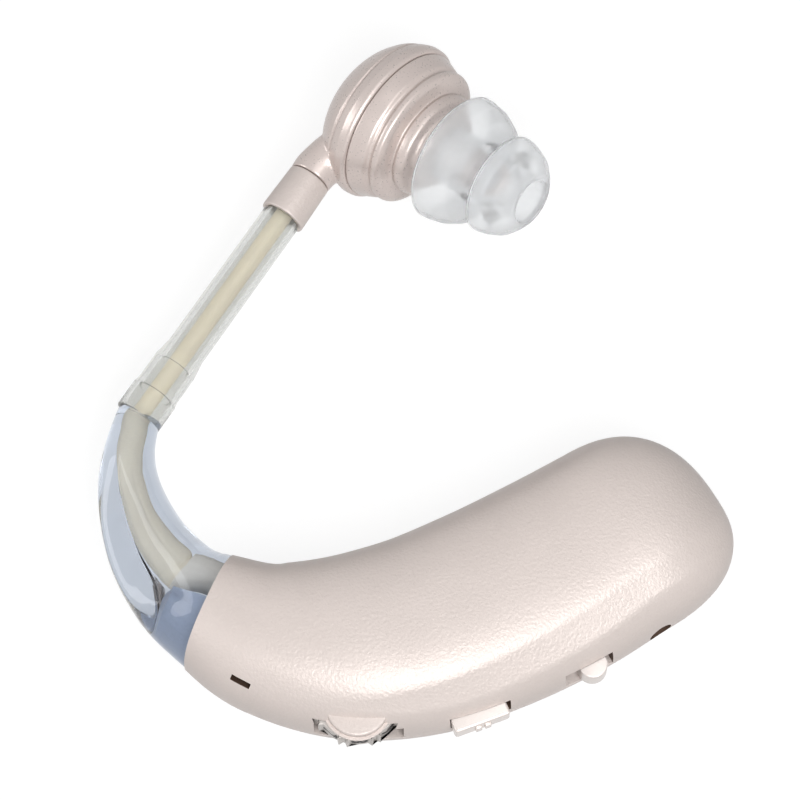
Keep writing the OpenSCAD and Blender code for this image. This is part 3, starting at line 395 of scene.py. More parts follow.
def box_form(x, y, z):
    """A plain box between the two values of each axis."""
    outline = [(x[0], y[0]), (x[1], y[0]), (x[1], y[1]), (x[0], y[1])]
    return loft([[(across, along, height) for across, along in outline] for height in z])


def rod_form(radius, z, n=96):
    """A plain rod along Z between the two heights."""
    a = ring_angles(n)
    ring = np.stack([radius * np.cos(a), radius * np.sin(a)], -1)
    return loft([np.column_stack([ring, np.full(n, height)]) for height in z])


def rounded_block(x, y, radius):
    """The outline of a rectangle whose corners are rounded."""
    return soften([(x[0], y[0]), (x[1], y[0]), (x[1], y[1]), (x[0], y[1])], radius, 7)


def sweep(line, radius, n):
    """A round bar along a line of points: each ring stands square to the line's slope."""
    line = np.asarray(line, float)
    d = unit(np.gradient(line, axis=0))
    flat = unit(np.stack([-d[:, 1], d[:, 0], np.zeros(len(d))], -1))
    up = np.cross(d, flat)
    a = ring_angles(n)[None, :, None]
    return loft(line[:, None] + radius * (np.cos(a) * flat[:, None] + np.sin(a) * up[:, None]))


# ---------------------------------------------------------------- meshes

def raw_mesh(name, parts):
    """One mesh from several (points, faces) parts."""
    points, faces, start = [], [], 0
    for p, f in parts:
        points.append(np.asarray(p, float))
        faces += [[start + i for i in face] for face in f]
        start += len(p)
    mesh = bpy.data.meshes.new(name)
    mesh.from_pydata(np.vstack(points), [], faces)
    return mesh


def clean(mesh, merge=MERGE):
    """Merges doubled points and points the faces outwards."""
    bm = bmesh.new()
    bm.from_mesh(mesh)
    bmesh.ops.remove_doubles(bm, verts=bm.verts, dist=merge)
    bmesh.ops.dissolve_degenerate(bm, edges=bm.edges, dist=merge)
    bmesh.ops.recalc_face_normals(bm, faces=bm.faces)
    bm.to_mesh(mesh)
    bm.free()


def linked(name, mesh):
    """An object at the origin that shows the mesh."""
    piece = bpy.data.objects.new(name, mesh)
    bpy.context.scene.collection.objects.link(piece)
    return piece


def evaluated(piece):
    """The piece with its modifiers applied to its mesh."""
    graph = bpy.context.evaluated_depsgraph_get()
    mesh = bpy.data.meshes.new_from_object(piece.evaluated_get(graph))
    old = piece.data
    piece.modifiers.clear()
    piece.data = mesh
    bpy.data.meshes.remove(old)
    return piece


def carve(piece, cutters, lining=None):
    """Takes each cutter, a (points, faces) part, out of the piece. The faces that a cutter
    leaves get the lining's finish."""
    helpers = []
    for k, part in enumerate(cutters):
        mesh = raw_mesh(f"cutter_{k}", [part])
        clean(mesh)
        if lining:
            mesh.materials.append(lining)
        helper = linked(f"cutter_{k}", mesh)
        helpers.append(helper)
        cut = piece.modifiers.new(f"cut_{k}", "BOOLEAN")
        cut.operation = "DIFFERENCE"
        cut.solver = "EXACT"
        cut.object = helper
        cut.material_mode = "TRANSFER"
    evaluated(piece)
    for helper in helpers:
        mesh = helper.data
        bpy.data.objects.remove(helper)
        bpy.data.meshes.remove(mesh)


def dressed(piece, body, material, replaces=(), sharp=35):
    """Smooths the piece's faces up to an angle in degrees, and gives it its finish and body."""
    mesh = piece.data
    mesh.polygons.foreach_set("use_smooth", np.ones(len(mesh.polygons), bool))
    mesh.set_sharp_from_angle(angle=math.radians(sharp))
    if not mesh.materials:
        mesh.materials.append(material)
    mesh.update()
    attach(piece, body)
    if replaces:
        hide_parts(*replaces)


def made(name, parts, body, material, replaces=(), sharp=35, merge=MERGE,
         cutters=(), lining=None):
    """Makes a finished piece from (points, faces) parts, less the cutters."""
    mesh = raw_mesh(name, parts)
    clean(mesh, merge)
    mesh.materials.append(material)
    piece = linked(name, mesh)
    if cutters:
        carve(piece, cutters, lining)
        clean(piece.data, merge)
    dressed(piece, body, material, replaces, sharp)


# ---------------------------------------------------------------- finishes

# Least and greatest sum of the two noises that the colour follows, and the broad one's size
SHADE_FROM, SHADE_TO = 0.7, 1.3
BROAD_GRAIN = 4 * MM
COAT_ROUGHNESS = 0.1
# How deep light spreads in a material that lets some in
SPREAD = 0.4 * MM


def finish(name, base, roughness, metallic=0.0, grain=0.3, bump=0.0, mottle=0.03,
           rough_spread=0.05, coat=0.0, transmission=0.0, ior=1.45, level=0.5, subsurface=0.0):
    """A procedural finish. Fine noise on Object coordinates varies the colour, the roughness and
    the bump. The grain is the size of a bump in millimetres, and the bump is its depth in
    micrometres."""
    mat = bpy.data.materials.new(name)
    mat.use_nodes = True
    nodes, links = mat.node_tree.nodes, mat.node_tree.links
    shader = nodes["Principled BSDF"]
    place = nodes.new("ShaderNodeTexCoord")
    fine, broad = nodes.new("ShaderNodeTexNoise"), nodes.new("ShaderNodeTexNoise")
    for noise, size, detail in ((fine, grain * MM, 3), (broad, BROAD_GRAIN, 2)):
        noise.inputs["Scale"].default_value = 1 / size
        noise.inputs["Detail"].default_value = detail
        links.new(place.outputs["Object"], noise.inputs["Vector"])
    both = nodes.new("ShaderNodeMath")
    both.operation = "ADD"
    links.new(fine.outputs["Fac"], both.inputs[0])
    links.new(broad.outputs["Fac"], both.inputs[1])
    shade = nodes.new("ShaderNodeMapRange")
    shade.inputs["From Min"].default_value = SHADE_FROM
    shade.inputs["From Max"].default_value = SHADE_TO
    links.new(both.outputs[0], shade.inputs["Value"])
    ramp = nodes.new("ShaderNodeValToRGB")
    low = [max(v * (1 - mottle), 0) for v in base]
    high = [min(v * (1 + mottle), 1) for v in base]
    ramp.color_ramp.elements[0].color = (*low, 1)
    ramp.color_ramp.elements[1].color = (*high, 1)
    links.new(shade.outputs[0], ramp.inputs["Fac"])
    links.new(ramp.outputs["Color"], shader.inputs["Base Color"])
    rough = nodes.new("ShaderNodeMapRange")
    rough.inputs["To Min"].default_value = max(roughness - rough_spread, 0.01)
    rough.inputs["To Max"].default_value = min(roughness + rough_spread, 1)
    links.new(fine.outputs["Fac"], rough.inputs["Value"])
    links.new(rough.outputs[0], shader.inputs["Roughness"])
    if bump:
        relief = nodes.new("ShaderNodeBump")
        relief.inputs["Strength"].default_value = 1
        relief.inputs["Distance"].default_value = bump * 0.001 * MM
        links.new(fine.outputs["Fac"], relief.inputs["Height"])
        links.new(relief.outputs["Normal"], shader.inputs["Normal"])
    for socket, value in (("Metallic", metallic), ("IOR", ior), ("Coat Weight", coat),
                          ("Coat Roughness", COAT_ROUGHNESS), ("Specular IOR Level", level),
                          ("Transmission Weight", transmission)):
        shader.inputs[socket].default_value = value
    if subsurface:
        shader.inputs["Subsurface Weight"].default_value = subsurface
        shader.inputs["Subsurface Radius"].default_value = (1, 1, 1)
        shader.inputs["Subsurface Scale"].default_value = SPREAD
    return mat


def clear_finish(name, base, roughness, grain, transmission, ior):
    """A finish that lets light through. It is even, because grain would look like dirt in it."""
    return finish(name, base, roughness, grain=grain, mottle=0.01, rough_spread=0.02,
                  transmission=transmission, ior=ior)


def case_lacquer(c):
    """The metallic lacquer of the case and the sleeve, made once."""
    return bpy.data.materials.get("case_lacquer") or finish(
        "case_lacquer", tuple(c.lacquer), 0.38, metallic=0.18, grain=0.26, bump=45, mottle=0.02,
        level=0.2)


def head_lacquer(d):
    """The lacquer of the receiver head."""
    return finish("head_lacquer", tuple(d.lacquer), 0.28, metallic=0.35, grain=0.2,
                  mottle=0.02, rough_spread=0.02, level=0.3)


# ---------------------------------------------------------------- the case

# At each of the case's stations, the bevel's direction in degrees and its depth in shares
BEVEL_TURNS = np.array([45, 45, 45, 48, 53, 58, 62.0])
BEVEL_DEPTHS = np.array([0, 0, 0.05, 0.75, 1, 0.9, 0.55])
# Powers of the squarish half section and of the round end's outline, flat and upright
FRONT_FULL = 2.55
END_FULL = 2.45
END_FULL_Z = 2.2
# Powers that crowd rows of points towards the round end's pole and towards the seam
POLE_CROWD, SEAM_CROWD = 1.5, 1.5
# Halvings that find a crease, and the least angle between a crease and the bevel's middle
HALVINGS, CREASE_LEAST = 34, 0.012
# The steepest angle, in degrees, at which the back half may meet the flat that it lies on
FLAT_STEEPEST = 86
# Rings of the outside and of the cavity, along the stations and round the end, and the
# station where the cavity starts
OUTER_RINGS, INNER_RINGS, CAVITY_FROM = (190, 44), (60, 16), 0.18
# Points on each side of a front and a back ring, outside and in the cavity, and the points
# across the bevel and across the flat with their ends
FRONT_POINTS, BACK_POINTS = (40, 24), (34, 20)
BEVEL_BAND, FLAT_BAND = 9, 12


def case_sections(c, inset, start, along, around):
    """Sections of the case from a station to the round end's pole: centre, direction, half
    width, front and back depth, bevel depth and turn. In the round end, at an angle a from the
    last station, the widths shrink as the n-th root of one minus sine a to the n."""
    rows = case_rows(c)
    last = len(rows) - 1
    t = np.linspace(start, last, along)
    r, d = curve(rows, t), heading(rows, t)
    depth = np.maximum(curve(BEVEL_DEPTHS[:, None], t)[:, 0], 0) * c.bevel
    turn = np.radians(curve(BEVEL_TURNS[:, None], t)[:, 0])
    a = math.pi / 2 * (1 - (1 - np.linspace(0, 1, around + 1)[1:])**POLE_CROWD)
    s = np.sin(a)
    u = np.maximum(1 - s**END_FULL, 1e-9)**(1 / END_FULL)
    v = np.maximum(1 - s**END_FULL_Z, 1e-9)**(1 / END_FULL_Z)
    e, base = d[-1], r[-1]
    forward = e * ((c.end - inset) * s)[:, None]
    centre = base[:2] + forward - side(e) * (c.lean * (1 - u))[:, None]
    return {
        "centre": np.vstack([r[:, :2], centre]),
        "dir": np.vstack([d, np.tile(e, (around, 1))]),
        "w": np.concatenate([r[:, 2] - inset, (base[2] - inset) * u]),
        "f": np.concatenate([r[:, 3] - inset, (base[3] - inset) * v]),
        "b": np.concatenate([r[:, 4] - inset, (base[4] - inset) * v]),
        "depth": np.concatenate([depth, depth[-1] * np.cos(a)]),
        "turn": np.concatenate([turn, np.full(around, turn[-1])]),
    }


def fullness(angle, w, f):
    """Points of a squarish half section at angles: cosine and sine to a power under one, times
    the half width and the depth."""
    e = 2 / FRONT_FULL
    c, s = np.cos(angle), np.maximum(np.sin(angle), 0)
    return w * np.sign(c) * np.abs(c)**e, f * s**e


def half_rings(c, s, x, z):
    """Rings of one half: x across each section from its centre, z up from the seam."""
    xy = s["centre"][:, None] + side(s["dir"])[:, None] * x[..., None]
    return np.concatenate([xy, (c.seam + z)[..., None]], -1)


def with_groove(x, z, w, groove):
    """The half section with a lip on each side, which leaves the groove at the seam."""
    lip = np.minimum(groove, 0.5 * w)
    return np.concatenate([w - lip, x, lip - w], 1), np.concatenate([0 * w, z, 0 * w], 1)


def front_rings(c, s, fine, groove):
    """Closed rings of the front half. The long bevel is the plane that lies its depth under the
    section's outermost point in the bevel's direction, and a row of points lies on each of its
    two creases, found by halving the angle's bracket."""
    w, f, turn, depth = (s[k][:, None] for k in ("w", "f", "turn", "depth"))
    cos_t, sin_t = np.cos(turn), np.sin(turn)
    q = FRONT_FULL / (FRONT_FULL - 1)
    support = ((w * cos_t)**q + (f * sin_t)**q)**(1 / q)
    middle = np.pi - np.arccos(np.clip((w * cos_t / support)**(q / 2), 0, 1))
    reach = support - depth

    def over(angle):
        """Whether the section's point at the angle lies past the bevel's plane."""
        x, z = fullness(angle, w, f)
        return -x * cos_t + z * sin_t > reach

    bounds = []
    for far in (0.0, np.pi):
        near, out = middle.copy(), np.full_like(middle, far)
        for _ in range(HALVINGS):
            half = (near + out) / 2
            inside = over(half)
            near, out = np.where(inside, half, near), np.where(inside, out, half)
        bounds.append((near + out) / 2)
    first = np.minimum(bounds[0], middle - CREASE_LEAST)
    second = np.maximum(bounds[1], middle + CREASE_LEAST)
    p = np.linspace(0, 1, fine)[None, :]
    band = np.linspace(0, 1, BEVEL_BAND)[None, 1:-1]
    angle = np.concatenate([first * p**SEAM_CROWD, first + (second - first) * band,
                            np.pi - (np.pi - second) * (1 - p[:, ::2])**SEAM_CROWD], 1)
    x, z = fullness(angle, w, f)
    d = -x * cos_t + z * sin_t
    pull = np.where(d > reach, reach / np.maximum(d, 1e-12), 1)
    x, z = x * pull, z * pull
    if groove:
        x, z = with_groove(x, np.maximum(z, np.minimum(groove, 0.5 * f)), w, groove)
    return half_rings(c, s, x, z)


def back_rings(c, s, fine, groove, floor):
    """Closed rings of the back half: half ellipses under the seam, cut flat at the floor, with
    a row of points on each edge of the flat."""
    w, b = s["w"][:, None], s["b"][:, None]
    deep = c.seam - floor
    edge = np.arcsin(np.clip(deep / b, 0, math.sin(math.radians(FLAT_STEEPEST))))
    p = np.linspace(0, 1, fine)[None, :]
    flat = np.linspace(0, 1, FLAT_BAND)[None, 1:-1]
    angle = np.concatenate([edge * p, edge + (np.pi - 2 * edge) * flat,
                            np.pi - edge * (1 - p)], 1)
    x, z = w * np.cos(angle), -np.minimum(b * np.sin(angle), deep)
    if groove:
        x, z = with_groove(x, np.minimum(z, -np.minimum(groove, 0.5 * b)), w, groove)
    return half_rings(c, s, x, z)


def past_seam(rings, way):
    """Rings of a cavity with a point more on each side, past the seam in the way given."""
    ends = rings[:, [0, -1]].copy()
    ends[..., 2] += way * OVER
    return np.concatenate([ends[:, :1], rings, ends[:, 1:]], 1)


# Openings of the controls in their own places: spans along the edge, into the case and up.
# The slots of the wheel and the knob start under the seam.
WHEEL_SLOT_X, WHEEL_SLOT_Y, WHEEL_SLOT_TOP = mm(-3.8, 3.8), mm(-2, 1.2), 8.05 * MM
BUTTON_SLOT_X, BUTTON_SLOT_Y, BUTTON_SLOT_Z = mm(-2.575, 2.875), mm(-2, 1.8), mm(6.425, 8.275)
KNOB_SLOT_X, KNOB_SLOT_Y, KNOB_SLOT_TOP = mm(-2.66, 1.94), mm(-2, 1.17), 8.3 * MM
# The charging hole and the square pocket of its socket: radius, half side and spans inwards
PORT_RADIUS, PORT_REACH = 1.1 * MM, mm(-0.5, 1.3)
POCKET_HALF, POCKET_REACH = 1.77 * MM, mm(1.17, 5.17)
# The end wall's holes: span along the case, the mount's span across and half height, the wire
# boot's radius and place across
WALL_REACH = mm(-2.9, 0.6)
MOUNT_ACROSS, MOUNT_HALF = mm(0.35, 3.39), 2.36 * MM
BOOT_RADIUS, BOOT_ACROSS = 1.15 * MM, -1.995 * MM
# The microphone's slot: spans along, across and through the shell, its turns in degrees, its
# distance from the edge and its height in shares of the front depth
MIC_SPANS = mm((-0.91, 0.91), (-0.3, 0.3), (-3, 1))
MIC_TURN, MIC_LEAN, MIC_IN, MIC_UP = -8, 50, 1.157 * MM, 0.64
# The screw holes of the back shell: radius, top, the near one's station and its distance from
# the middle line in shares of the width, the far one's in shares of the round end and the lean
SCREW_RADIUS, SCREW_TOP = 1.1 * MM, 1.92 * MM
SCREW_AT, SCREW_SIDE, SCREW_FAR, SCREW_LEAN = 1.2, 0.02, 0.5, 0.3
# The hood: ends of its arc in degrees and its points, gap over the wheel, and how far it runs
# into the case. Over the gap, its lower face, its upper face less its height, its rims'
# rounding, and the thickness and rounding of its ledge
HOOD_ARC, HOOD_GAP, HOOD_IN = (-205, 25, 72), 0.09 * MM, 1.6 * MM
HOOD_LOW, HOOD_TOP, HOOD_RIM = mm(0.05, 0.06, 0.2)
LEDGE_THICK, LEDGE_RIM = mm(0.2, 0.05)


def wheel_axis(c, w):
    """Turn of the wheel's own place, and the point on the table under its axis."""
    turn, origin = edge_place(c, WHEEL_AT)
    return turn, origin + turn @ np.array([0, w.inset, 0])


def control_cuts(c, w):
    """The openings of the controls along the outer edge of the front shell."""
    low = c.seam - OVER
    slot = box_form(WHEEL_SLOT_X, WHEEL_SLOT_Y, (low, WHEEL_SLOT_TOP))
    room = rod_form(w.radius + SIDE_GAP, (low, w.base + w.thick + SIDE_GAP))
    button = box_form(BUTTON_SLOT_X, BUTTON_SLOT_Y, BUTTON_SLOT_Z)
    knob = box_form(KNOB_SLOT_X, KNOB_SLOT_Y, (low, KNOB_SLOT_TOP))
    return [at(slot, *edge_place(c, WHEEL_AT)), at(room, *wheel_axis(c, w)),
            at(button, *edge_place(c, BUTTON_AT)), at(knob, *edge_place(c, KNOB_AT))]


def port_cuts(c):
    """The charging hole and the pocket of its socket."""
    hole = at(rod_form(PORT_RADIUS, PORT_REACH), turned(x=-math.pi / 2), (0, 0, c.seam))
    pocket = box_form((-POCKET_HALF, POCKET_HALF), POCKET_REACH,
                      (c.seam - POCKET_HALF, c.seam + POCKET_HALF))
    return [at(part, *edge_place(c, PORT_AT)) for part in (hole, pocket)]


def joint_cut(c, h):
    """The holes in the end wall for the hook's mount and the wire boot."""
    d = -heading(case_rows(c), 0)[0]
    turn = turned(z=math.atan2(d[1], d[0]))
    origin = np.array([c.joint_x, c.joint_y, h.line])
    mount = box_form(WALL_REACH, MOUNT_ACROSS, (-MOUNT_HALF, MOUNT_HALF))
    boot = at(rod_form(BOOT_RADIUS, WALL_REACH), turned(y=math.pi / 2), (0, BOOT_ACROSS, 0))
    return [at(mount, turn, origin), at(boot, turn, origin)]


def mic_cut(c):
    """The microphone's slot, square to the shell."""
    slot = at(box_form(*MIC_SPANS), turned(z=math.radians(MIC_TURN)), (0, 0, 0))
    slot = at(slot, turned(x=math.radians(MIC_LEAN)), (0, MIC_IN, c.seam + MIC_UP * c.front))
    return at(slot, *edge_place(c, MIC_AT))


def screw_cuts(c):
    """The holes of the two case screws."""
    rows = case_rows(c)
    row, d = curve(rows, SCREW_AT)[0], heading(rows, SCREW_AT)[0]
    near = row[:2] - side(d) * SCREW_SIDE * c.width
    row, d = rows[-1], heading(rows, len(rows) - 1)[0]
    far = row[:2] + d * c.end * SCREW_FAR - side(d) * c.lean * SCREW_LEAN
    return [at(rod_form(SCREW_RADIUS, (-OVER, SCREW_TOP), 48), np.eye(3), np.append(spot, 0.0))
            for spot in (near, far)]


def hood_form(c, w):
    """The half round hood over the wheel: a segment of a disc with a rounded rim, on a thin
    ledge of the same form that stands out a little further."""
    a = np.radians(np.linspace(*HOOD_ARC))
    middle = w.hood_radius - w.hood_out
    low = w.base + w.thick + HOOD_GAP
    parts = []
    for radius, bottom, top, rim in (
            (w.hood_radius, low + HOOD_LOW, low + HOOD_TOP + w.hood_height, HOOD_RIM),
            (w.hood_radius + w.ledge, low, low + LEDGE_THICK, LEDGE_RIM)):
        arc = np.stack([radius * np.cos(a), middle + radius * np.sin(a)], -1)
        arc = arc[arc[:, 1] < HOOD_IN]
        parts.append(at(slab(arc, bottom, top, rim), *edge_place(c, WHEEL_AT)))
    return parts


class AMPLIFIER_OT_case(bpy.types.Operator):
    """Makes the front and back shells with their openings, and the hood over the wheel"""
    bl_idname = "amplifier.case"
    bl_label = "Case"

    def execute(self, context):
        c, w, h = context.scene.amp_case, context.scene.amp_wheel, context.scene.amp_hook
        paint = case_lacquer(c)
        # The faces that the cutters leave get this finish: bare plastic, darkened to paint the
        # shade in the openings.
        inside = finish("case_inside_painted_shade", tuple(c.inside), 0.6, grain=0.3, bump=4, mottle=0.08,
                        level=0.2)
        outer = case_sections(c, 0, 0, *OUTER_RINGS)
        inner = case_sections(c, c.wall, CAVITY_FROM, *INNER_RINGS)
        shared = port_cuts(c) + joint_cut(c, h)
        points, cavity_points = FRONT_POINTS
        cavity = loft(past_seam(front_rings(c, inner, cavity_points, 0), -1))
        cuts = [cavity] + control_cuts(c, w) + shared + [mic_cut(c)]
        made("case_front", [loft(front_rings(c, outer, points, c.groove))], "housing", paint,
             replaces=["front_shell"], sharp=38, cutters=cuts, lining=inside)
        made("wheel_hood", hood_form(c, w), "housing", paint, sharp=50)
        points, cavity_points = BACK_POINTS
        cavity = loft(past_seam(back_rings(c, inner, cavity_points, 0, c.wall), 1))
        cuts = [cavity] + shared + screw_cuts(c)
        made("case_back", [loft(back_rings(c, outer, points, c.groove, 0))], "housing", paint,
             replaces=["back_shell"], sharp=38, cutters=cuts, lining=inside)
        return {"FINISHED"}


# ---------------------------------------------------------------- the controls

# A pair's teeth stand this far to either side of its middle, and are this wide at their foot
# on each side of their tip, in degrees
TOOTH_AWAY, TOOTH_HALF = 5.2, 3.9
WHEEL_POINTS, WHEEL_RIM = 1440, 0.07 * MM
# The figures: half thickness, gap to the flats, height of a letter's width on the rim in
# shares, and the place in the row of the one that faces outwards at rest
FIGURE_RAISE, FIGURE_GAP, FIGURE_NARROW, FIRST_FIGURE = 0.03 * MM, 0.005 * MM, 0.9, 7


def wheel_outline(w):
    """The wheel's outline: a circle on which pairs of small triangles stand."""
    a = ring_angles(WHEEL_POINTS)
    pitch = 2 * math.pi / w.pairs
    near = (a + math.pi / 2) % pitch - pitch / 2
    away = np.abs(np.abs(near) - math.radians(TOOTH_AWAY))
    rise = np.clip(1 - away / math.radians(TOOTH_HALF), 0, 1)
    r = w.radius - w.tooth + w.tooth * rise
    return np.stack([r * np.cos(a), r * np.sin(a)], -1)


def letters(name, body, size):
    """Points, centred, and faces of a line of text with a thickness, made a mesh."""
    text = bpy.data.curves.new(name, "FONT")
    text.body = body
    text.size = size
    text.align_x, text.align_y = "CENTER", "CENTER"
    text.extrude = FIGURE_RAISE
    text.resolution_u = 4
    holder = linked(name, text)
    graph = bpy.context.evaluated_depsgraph_get()
    mesh = bpy.data.meshes.new_from_object(holder.evaluated_get(graph))
    co = np.zeros(len(mesh.vertices) * 3)
    mesh.vertices.foreach_get("co", co)
    co = co.reshape(-1, 3)
    co[:, :2] -= (co[:, :2].max(0) + co[:, :2].min(0)) / 2
    faces = [list(p.vertices) for p in mesh.polygons]
    bpy.data.objects.remove(holder)
    bpy.data.curves.remove(text)
    bpy.data.meshes.remove(mesh)
    return co, faces


def figures(w):
    """Plain figures on the flats between the teeth, lying on their sides, bent to the rim."""
    parts = []
    rim = w.radius - w.tooth
    for k in range(w.pairs):
        co, faces = letters(f"figure_{k}", str((FIRST_FIGURE + k) % w.pairs + 1), w.figure)
        a = -math.pi / 2 + 2 * math.pi / w.pairs * k + co[:, 1] / rim
        out = rim + FIGURE_GAP + FIGURE_RAISE + co[:, 2]
        up = w.thick / 2 - co[:, 0] * FIGURE_NARROW
        parts.append((np.stack([out * np.cos(a), out * np.sin(a), up], -1), faces))
    return parts


class AMPLIFIER_OT_wheel(bpy.types.Operator):
    """Makes the toothed volume wheel and its figures"""
    bl_idname = "amplifier.wheel"
    bl_label = "Volume wheel"

    def execute(self, context):
        c, w = context.scene.amp_case, context.scene.amp_wheel
        turn, foot = wheel_axis(c, w)
        middle = foot + np.array([0, 0, w.base])
        body = finish("wheel_body", tuple(w.body), 0.4, metallic=0.25, grain=0.1, bump=0.8,
                      mottle=0.05)
        paint = finish("wheel_figures", tuple(w.paint), 0.5, grain=0.08, bump=0.4)
        disc = slab(wheel_outline(w), 0, w.thick, WHEEL_RIM, 4)
        made("volume_wheel_body", [at(disc, turn, middle)], "volume_wheel", body,
             replaces=["volume_wheel"], sharp=40)
        made("volume_wheel_figures", [at(p, turn, middle) for p in figures(w)], "volume_wheel",
             paint, sharp=30, merge=FIGURE_MERGE)
        return {"FINISHED"}


# The mode button in its own place: outline and corners' radius, then lower and upper face and
# rounding of the rims. The bar stands out of its slot, and the flange behind holds it in.
BAR_X, BAR_Y, BAR_CORNER = mm(-2.5, 2.5), mm(-0.8, 1.57), 0.3 * MM
BAR_Z, BAR_RIM = mm(6.5, 8.2), 0.2 * MM
FLANGE_X, FLANGE_Y, FLANGE_CORNER = mm(-2.95, 2.95), mm(1.57, 1.92), 0.05 * MM
FLANGE_Z, FLANGE_RIM = mm(6.4, 8.3), 0.03 * MM
# Its two raised marks: distance from the middle, half width, span outwards, height and rim
MARK_AWAY, MARK_HALF, MARK_Y = 0.42 * MM, 0.28 * MM, mm(-1.0, -0.7)
MARK_Z, MARK_RIM = mm(6.75, 7.75), 0.06 * MM
# The slide switch's knob: radius, middle and points of its round front, back corners, lower
# and upper face, rims' rounding, and the neck that reaches to the slider
KNOB_RADIUS, KNOB_MIDDLE, KNOB_BACK = 1.27 * MM, 0.27 * MM, mm(0.55, 0.9)
KNOB_POINTS, KNOB_Z, KNOB_RIM = 40, mm(6.05, 8.15), 0.13 * MM
NECK_X, NECK_Y, NECK_Z = mm(-0.5, 0.5), mm(0.8, 1.62), mm(6.6, 7.6)


def button_forms():
    """The bar, the flange and the two raised marks of the mode button."""
    marks = [slab(rounded_block((x - MARK_HALF, x + MARK_HALF), MARK_Y, MARK_RIM), *MARK_Z,
                  MARK_RIM, 3) for x in (-MARK_AWAY, MARK_AWAY)]
    return [slab(rounded_block(BAR_X, BAR_Y, BAR_CORNER), *BAR_Z, BAR_RIM),
            slab(rounded_block(FLANGE_X, FLANGE_Y, FLANGE_CORNER), *FLANGE_Z, FLANGE_RIM)] + marks


def knob_forms():
    """The knob, a half disc with a straight back, and its neck."""
    a = np.radians(np.linspace(-180, 0, KNOB_POINTS))
    arc = np.stack([KNOB_RADIUS * np.cos(a), KNOB_MIDDLE + KNOB_RADIUS * np.sin(a)], -1)
    near, far = KNOB_BACK
    back = [(KNOB_RADIUS, near), (KNOB_RADIUS, far), (-KNOB_RADIUS, far), (-KNOB_RADIUS, near)]
    return [slab(np.vstack([arc, back]), *KNOB_Z, KNOB_RIM), box_form(NECK_X, NECK_Y, NECK_Z)]


class AMPLIFIER_OT_buttons(bpy.types.Operator):
    """Makes the mode button and the slide switch's knob"""
    bl_idname = "amplifier.buttons"
    bl_label = "Button and knob"

    def execute(self, context):
        c = context.scene.amp_case
        pearl = finish("pearl_lacquer", tuple(c.pearl), 0.36, metallic=0.55, grain=0.1,
                       bump=0.8, coat=0.2)
        made("mode_button_cap", [at(p, *edge_place(c, BUTTON_AT)) for p in button_forms()],
             "mode_button", pearl, replaces=["mode_button"], sharp=45)
        made("slide_knob", [at(p, *edge_place(c, KNOB_AT)) for p in knob_forms()],
             "slide_switch", pearl, replaces=["switch_knob"], sharp=45)
        return {"FINISHED"}


# ---------------------------------------------------------------- hook, tube and wire

# Least half width of the hook. The stations over which the fin sets in and fades out, and the
# stations over which the hook turns from square to the case into its own line
HOOK_LEAST = 0.85 * MM
HOOK_RINGS, HOOK_POINTS = 160, 200
FIN_IN, FIN_IN_SPAN, FIN_OUT, FIN_OUT_SPAN = 0.15, 1.6, 5.2, 2.4
HOOK_TURN_IN = 0.6
# The wire: its place across the joint in shares of the hook's width, how far it lies inside the
# case and runs straight out of it, its stations in the hook, its stops in the tube in shares,
# and how far it runs into the sleeve
WIRE_SIDE, WIRE_IN, WIRE_OUT = 0.19, 3.9 * MM, 3.35 * MM
WIRE_STATIONS = np.array([1.4, 2, 3, 4, 4.5, 5, 5.5])
WIRE_STOPS, WIRE_SLEEVE = np.array([0, 0.1, 0.5, 1]), 3.4 * MM
WIRE_RINGS, WIRE_POINTS = 240, 32
# The tube's mouth over the hook's collar and nipple: distance along the tube and radius, from
# the pocket's rim to where the swelling starts to fade. Where the swelling and the pocket end,
# and the gap round the nipple. The thinner end's radius, the corners' radius, and the points
# round the tube
TUBE_MOUTH = mm((0.05, 1.7), (0.05, 2.18), (2.6, 2.18), (3.1, 2.05), (5.85, 2.05))
TUBE_SWELL_END, TUBE_POCKET, TUBE_FIT = 7.45 * MM, 2.65 * MM, 0.05 * MM
TUBE_GRIP, TUBE_CORNER, TUBE_POINTS = 1.58 * MM, 0.09 * MM, 256
# The sleeve: its bore over the tube and that bore's length, its bore for the swivel bush, the
# length and height of its first flare, its taper and its corners' radius
SLEEVE_BORE, SLEEVE_GRIP, SLEEVE_BUSH = mm(1.65, 3.6, 1.25)
SLEEVE_FLARE, SLEEVE_RISE, SLEEVE_TAPER, SLEEVE_CORNER = mm(0.3, 0.01, 0.1, 0.12)


def hook_rings(h, c, t):
    """Rings of the hook at stations t, square to its line: ovals that turn, beyond the joint,
    into a round part on the inner side with a thin fin on the outer side."""
    r = curve(hook_rows(h, c), t)
    w, e = np.maximum(r[:, 2], HOOK_LEAST), np.maximum(r[:, 3], HOOK_LEAST)
    a = ring_angles(HOOK_POINTS)[None, :]
    across, up = np.cos(a), np.sin(a)
    round_part = np.sqrt(np.maximum(1 - ((across - h.bulge_side) / h.bulge)**2, 0))
    fin = h.fin * np.sqrt(np.abs(up))
    thin = np.sign(up) * np.minimum(np.abs(up), np.maximum(round_part, fin))
    amount = (np.clip((t - FIN_IN) / FIN_IN_SPAN, 0, 1)
              * np.clip((FIN_OUT - t) / FIN_OUT_SPAN, 0, 1))[:, None]
    amount = amount * amount * (3 - 2 * amount)
    up = up * (1 - amount) + thin * amount
    xy = r[:, None, :2] - side(hook_heading(h, c, t))[:, None] * (w[:, None] * across)[..., None]
    return np.concatenate([xy, (h.line + e[:, None] * up)[..., None]], -1)


def hook_heading(h, c, t):
    """Direction of the hook, square to the case at its joint and along the tube at its end."""
    rows = hook_rows(h, c)
    d = np.where((t >= len(rows) - 1 - 1e-6)[:, None], tube_heading(h), heading(rows, t))
    blend = np.clip(t, 0, HOOK_TURN_IN)[:, None] / HOOK_TURN_IN
    return unit(d * blend - heading(case_rows(c), 0) * (1 - blend))


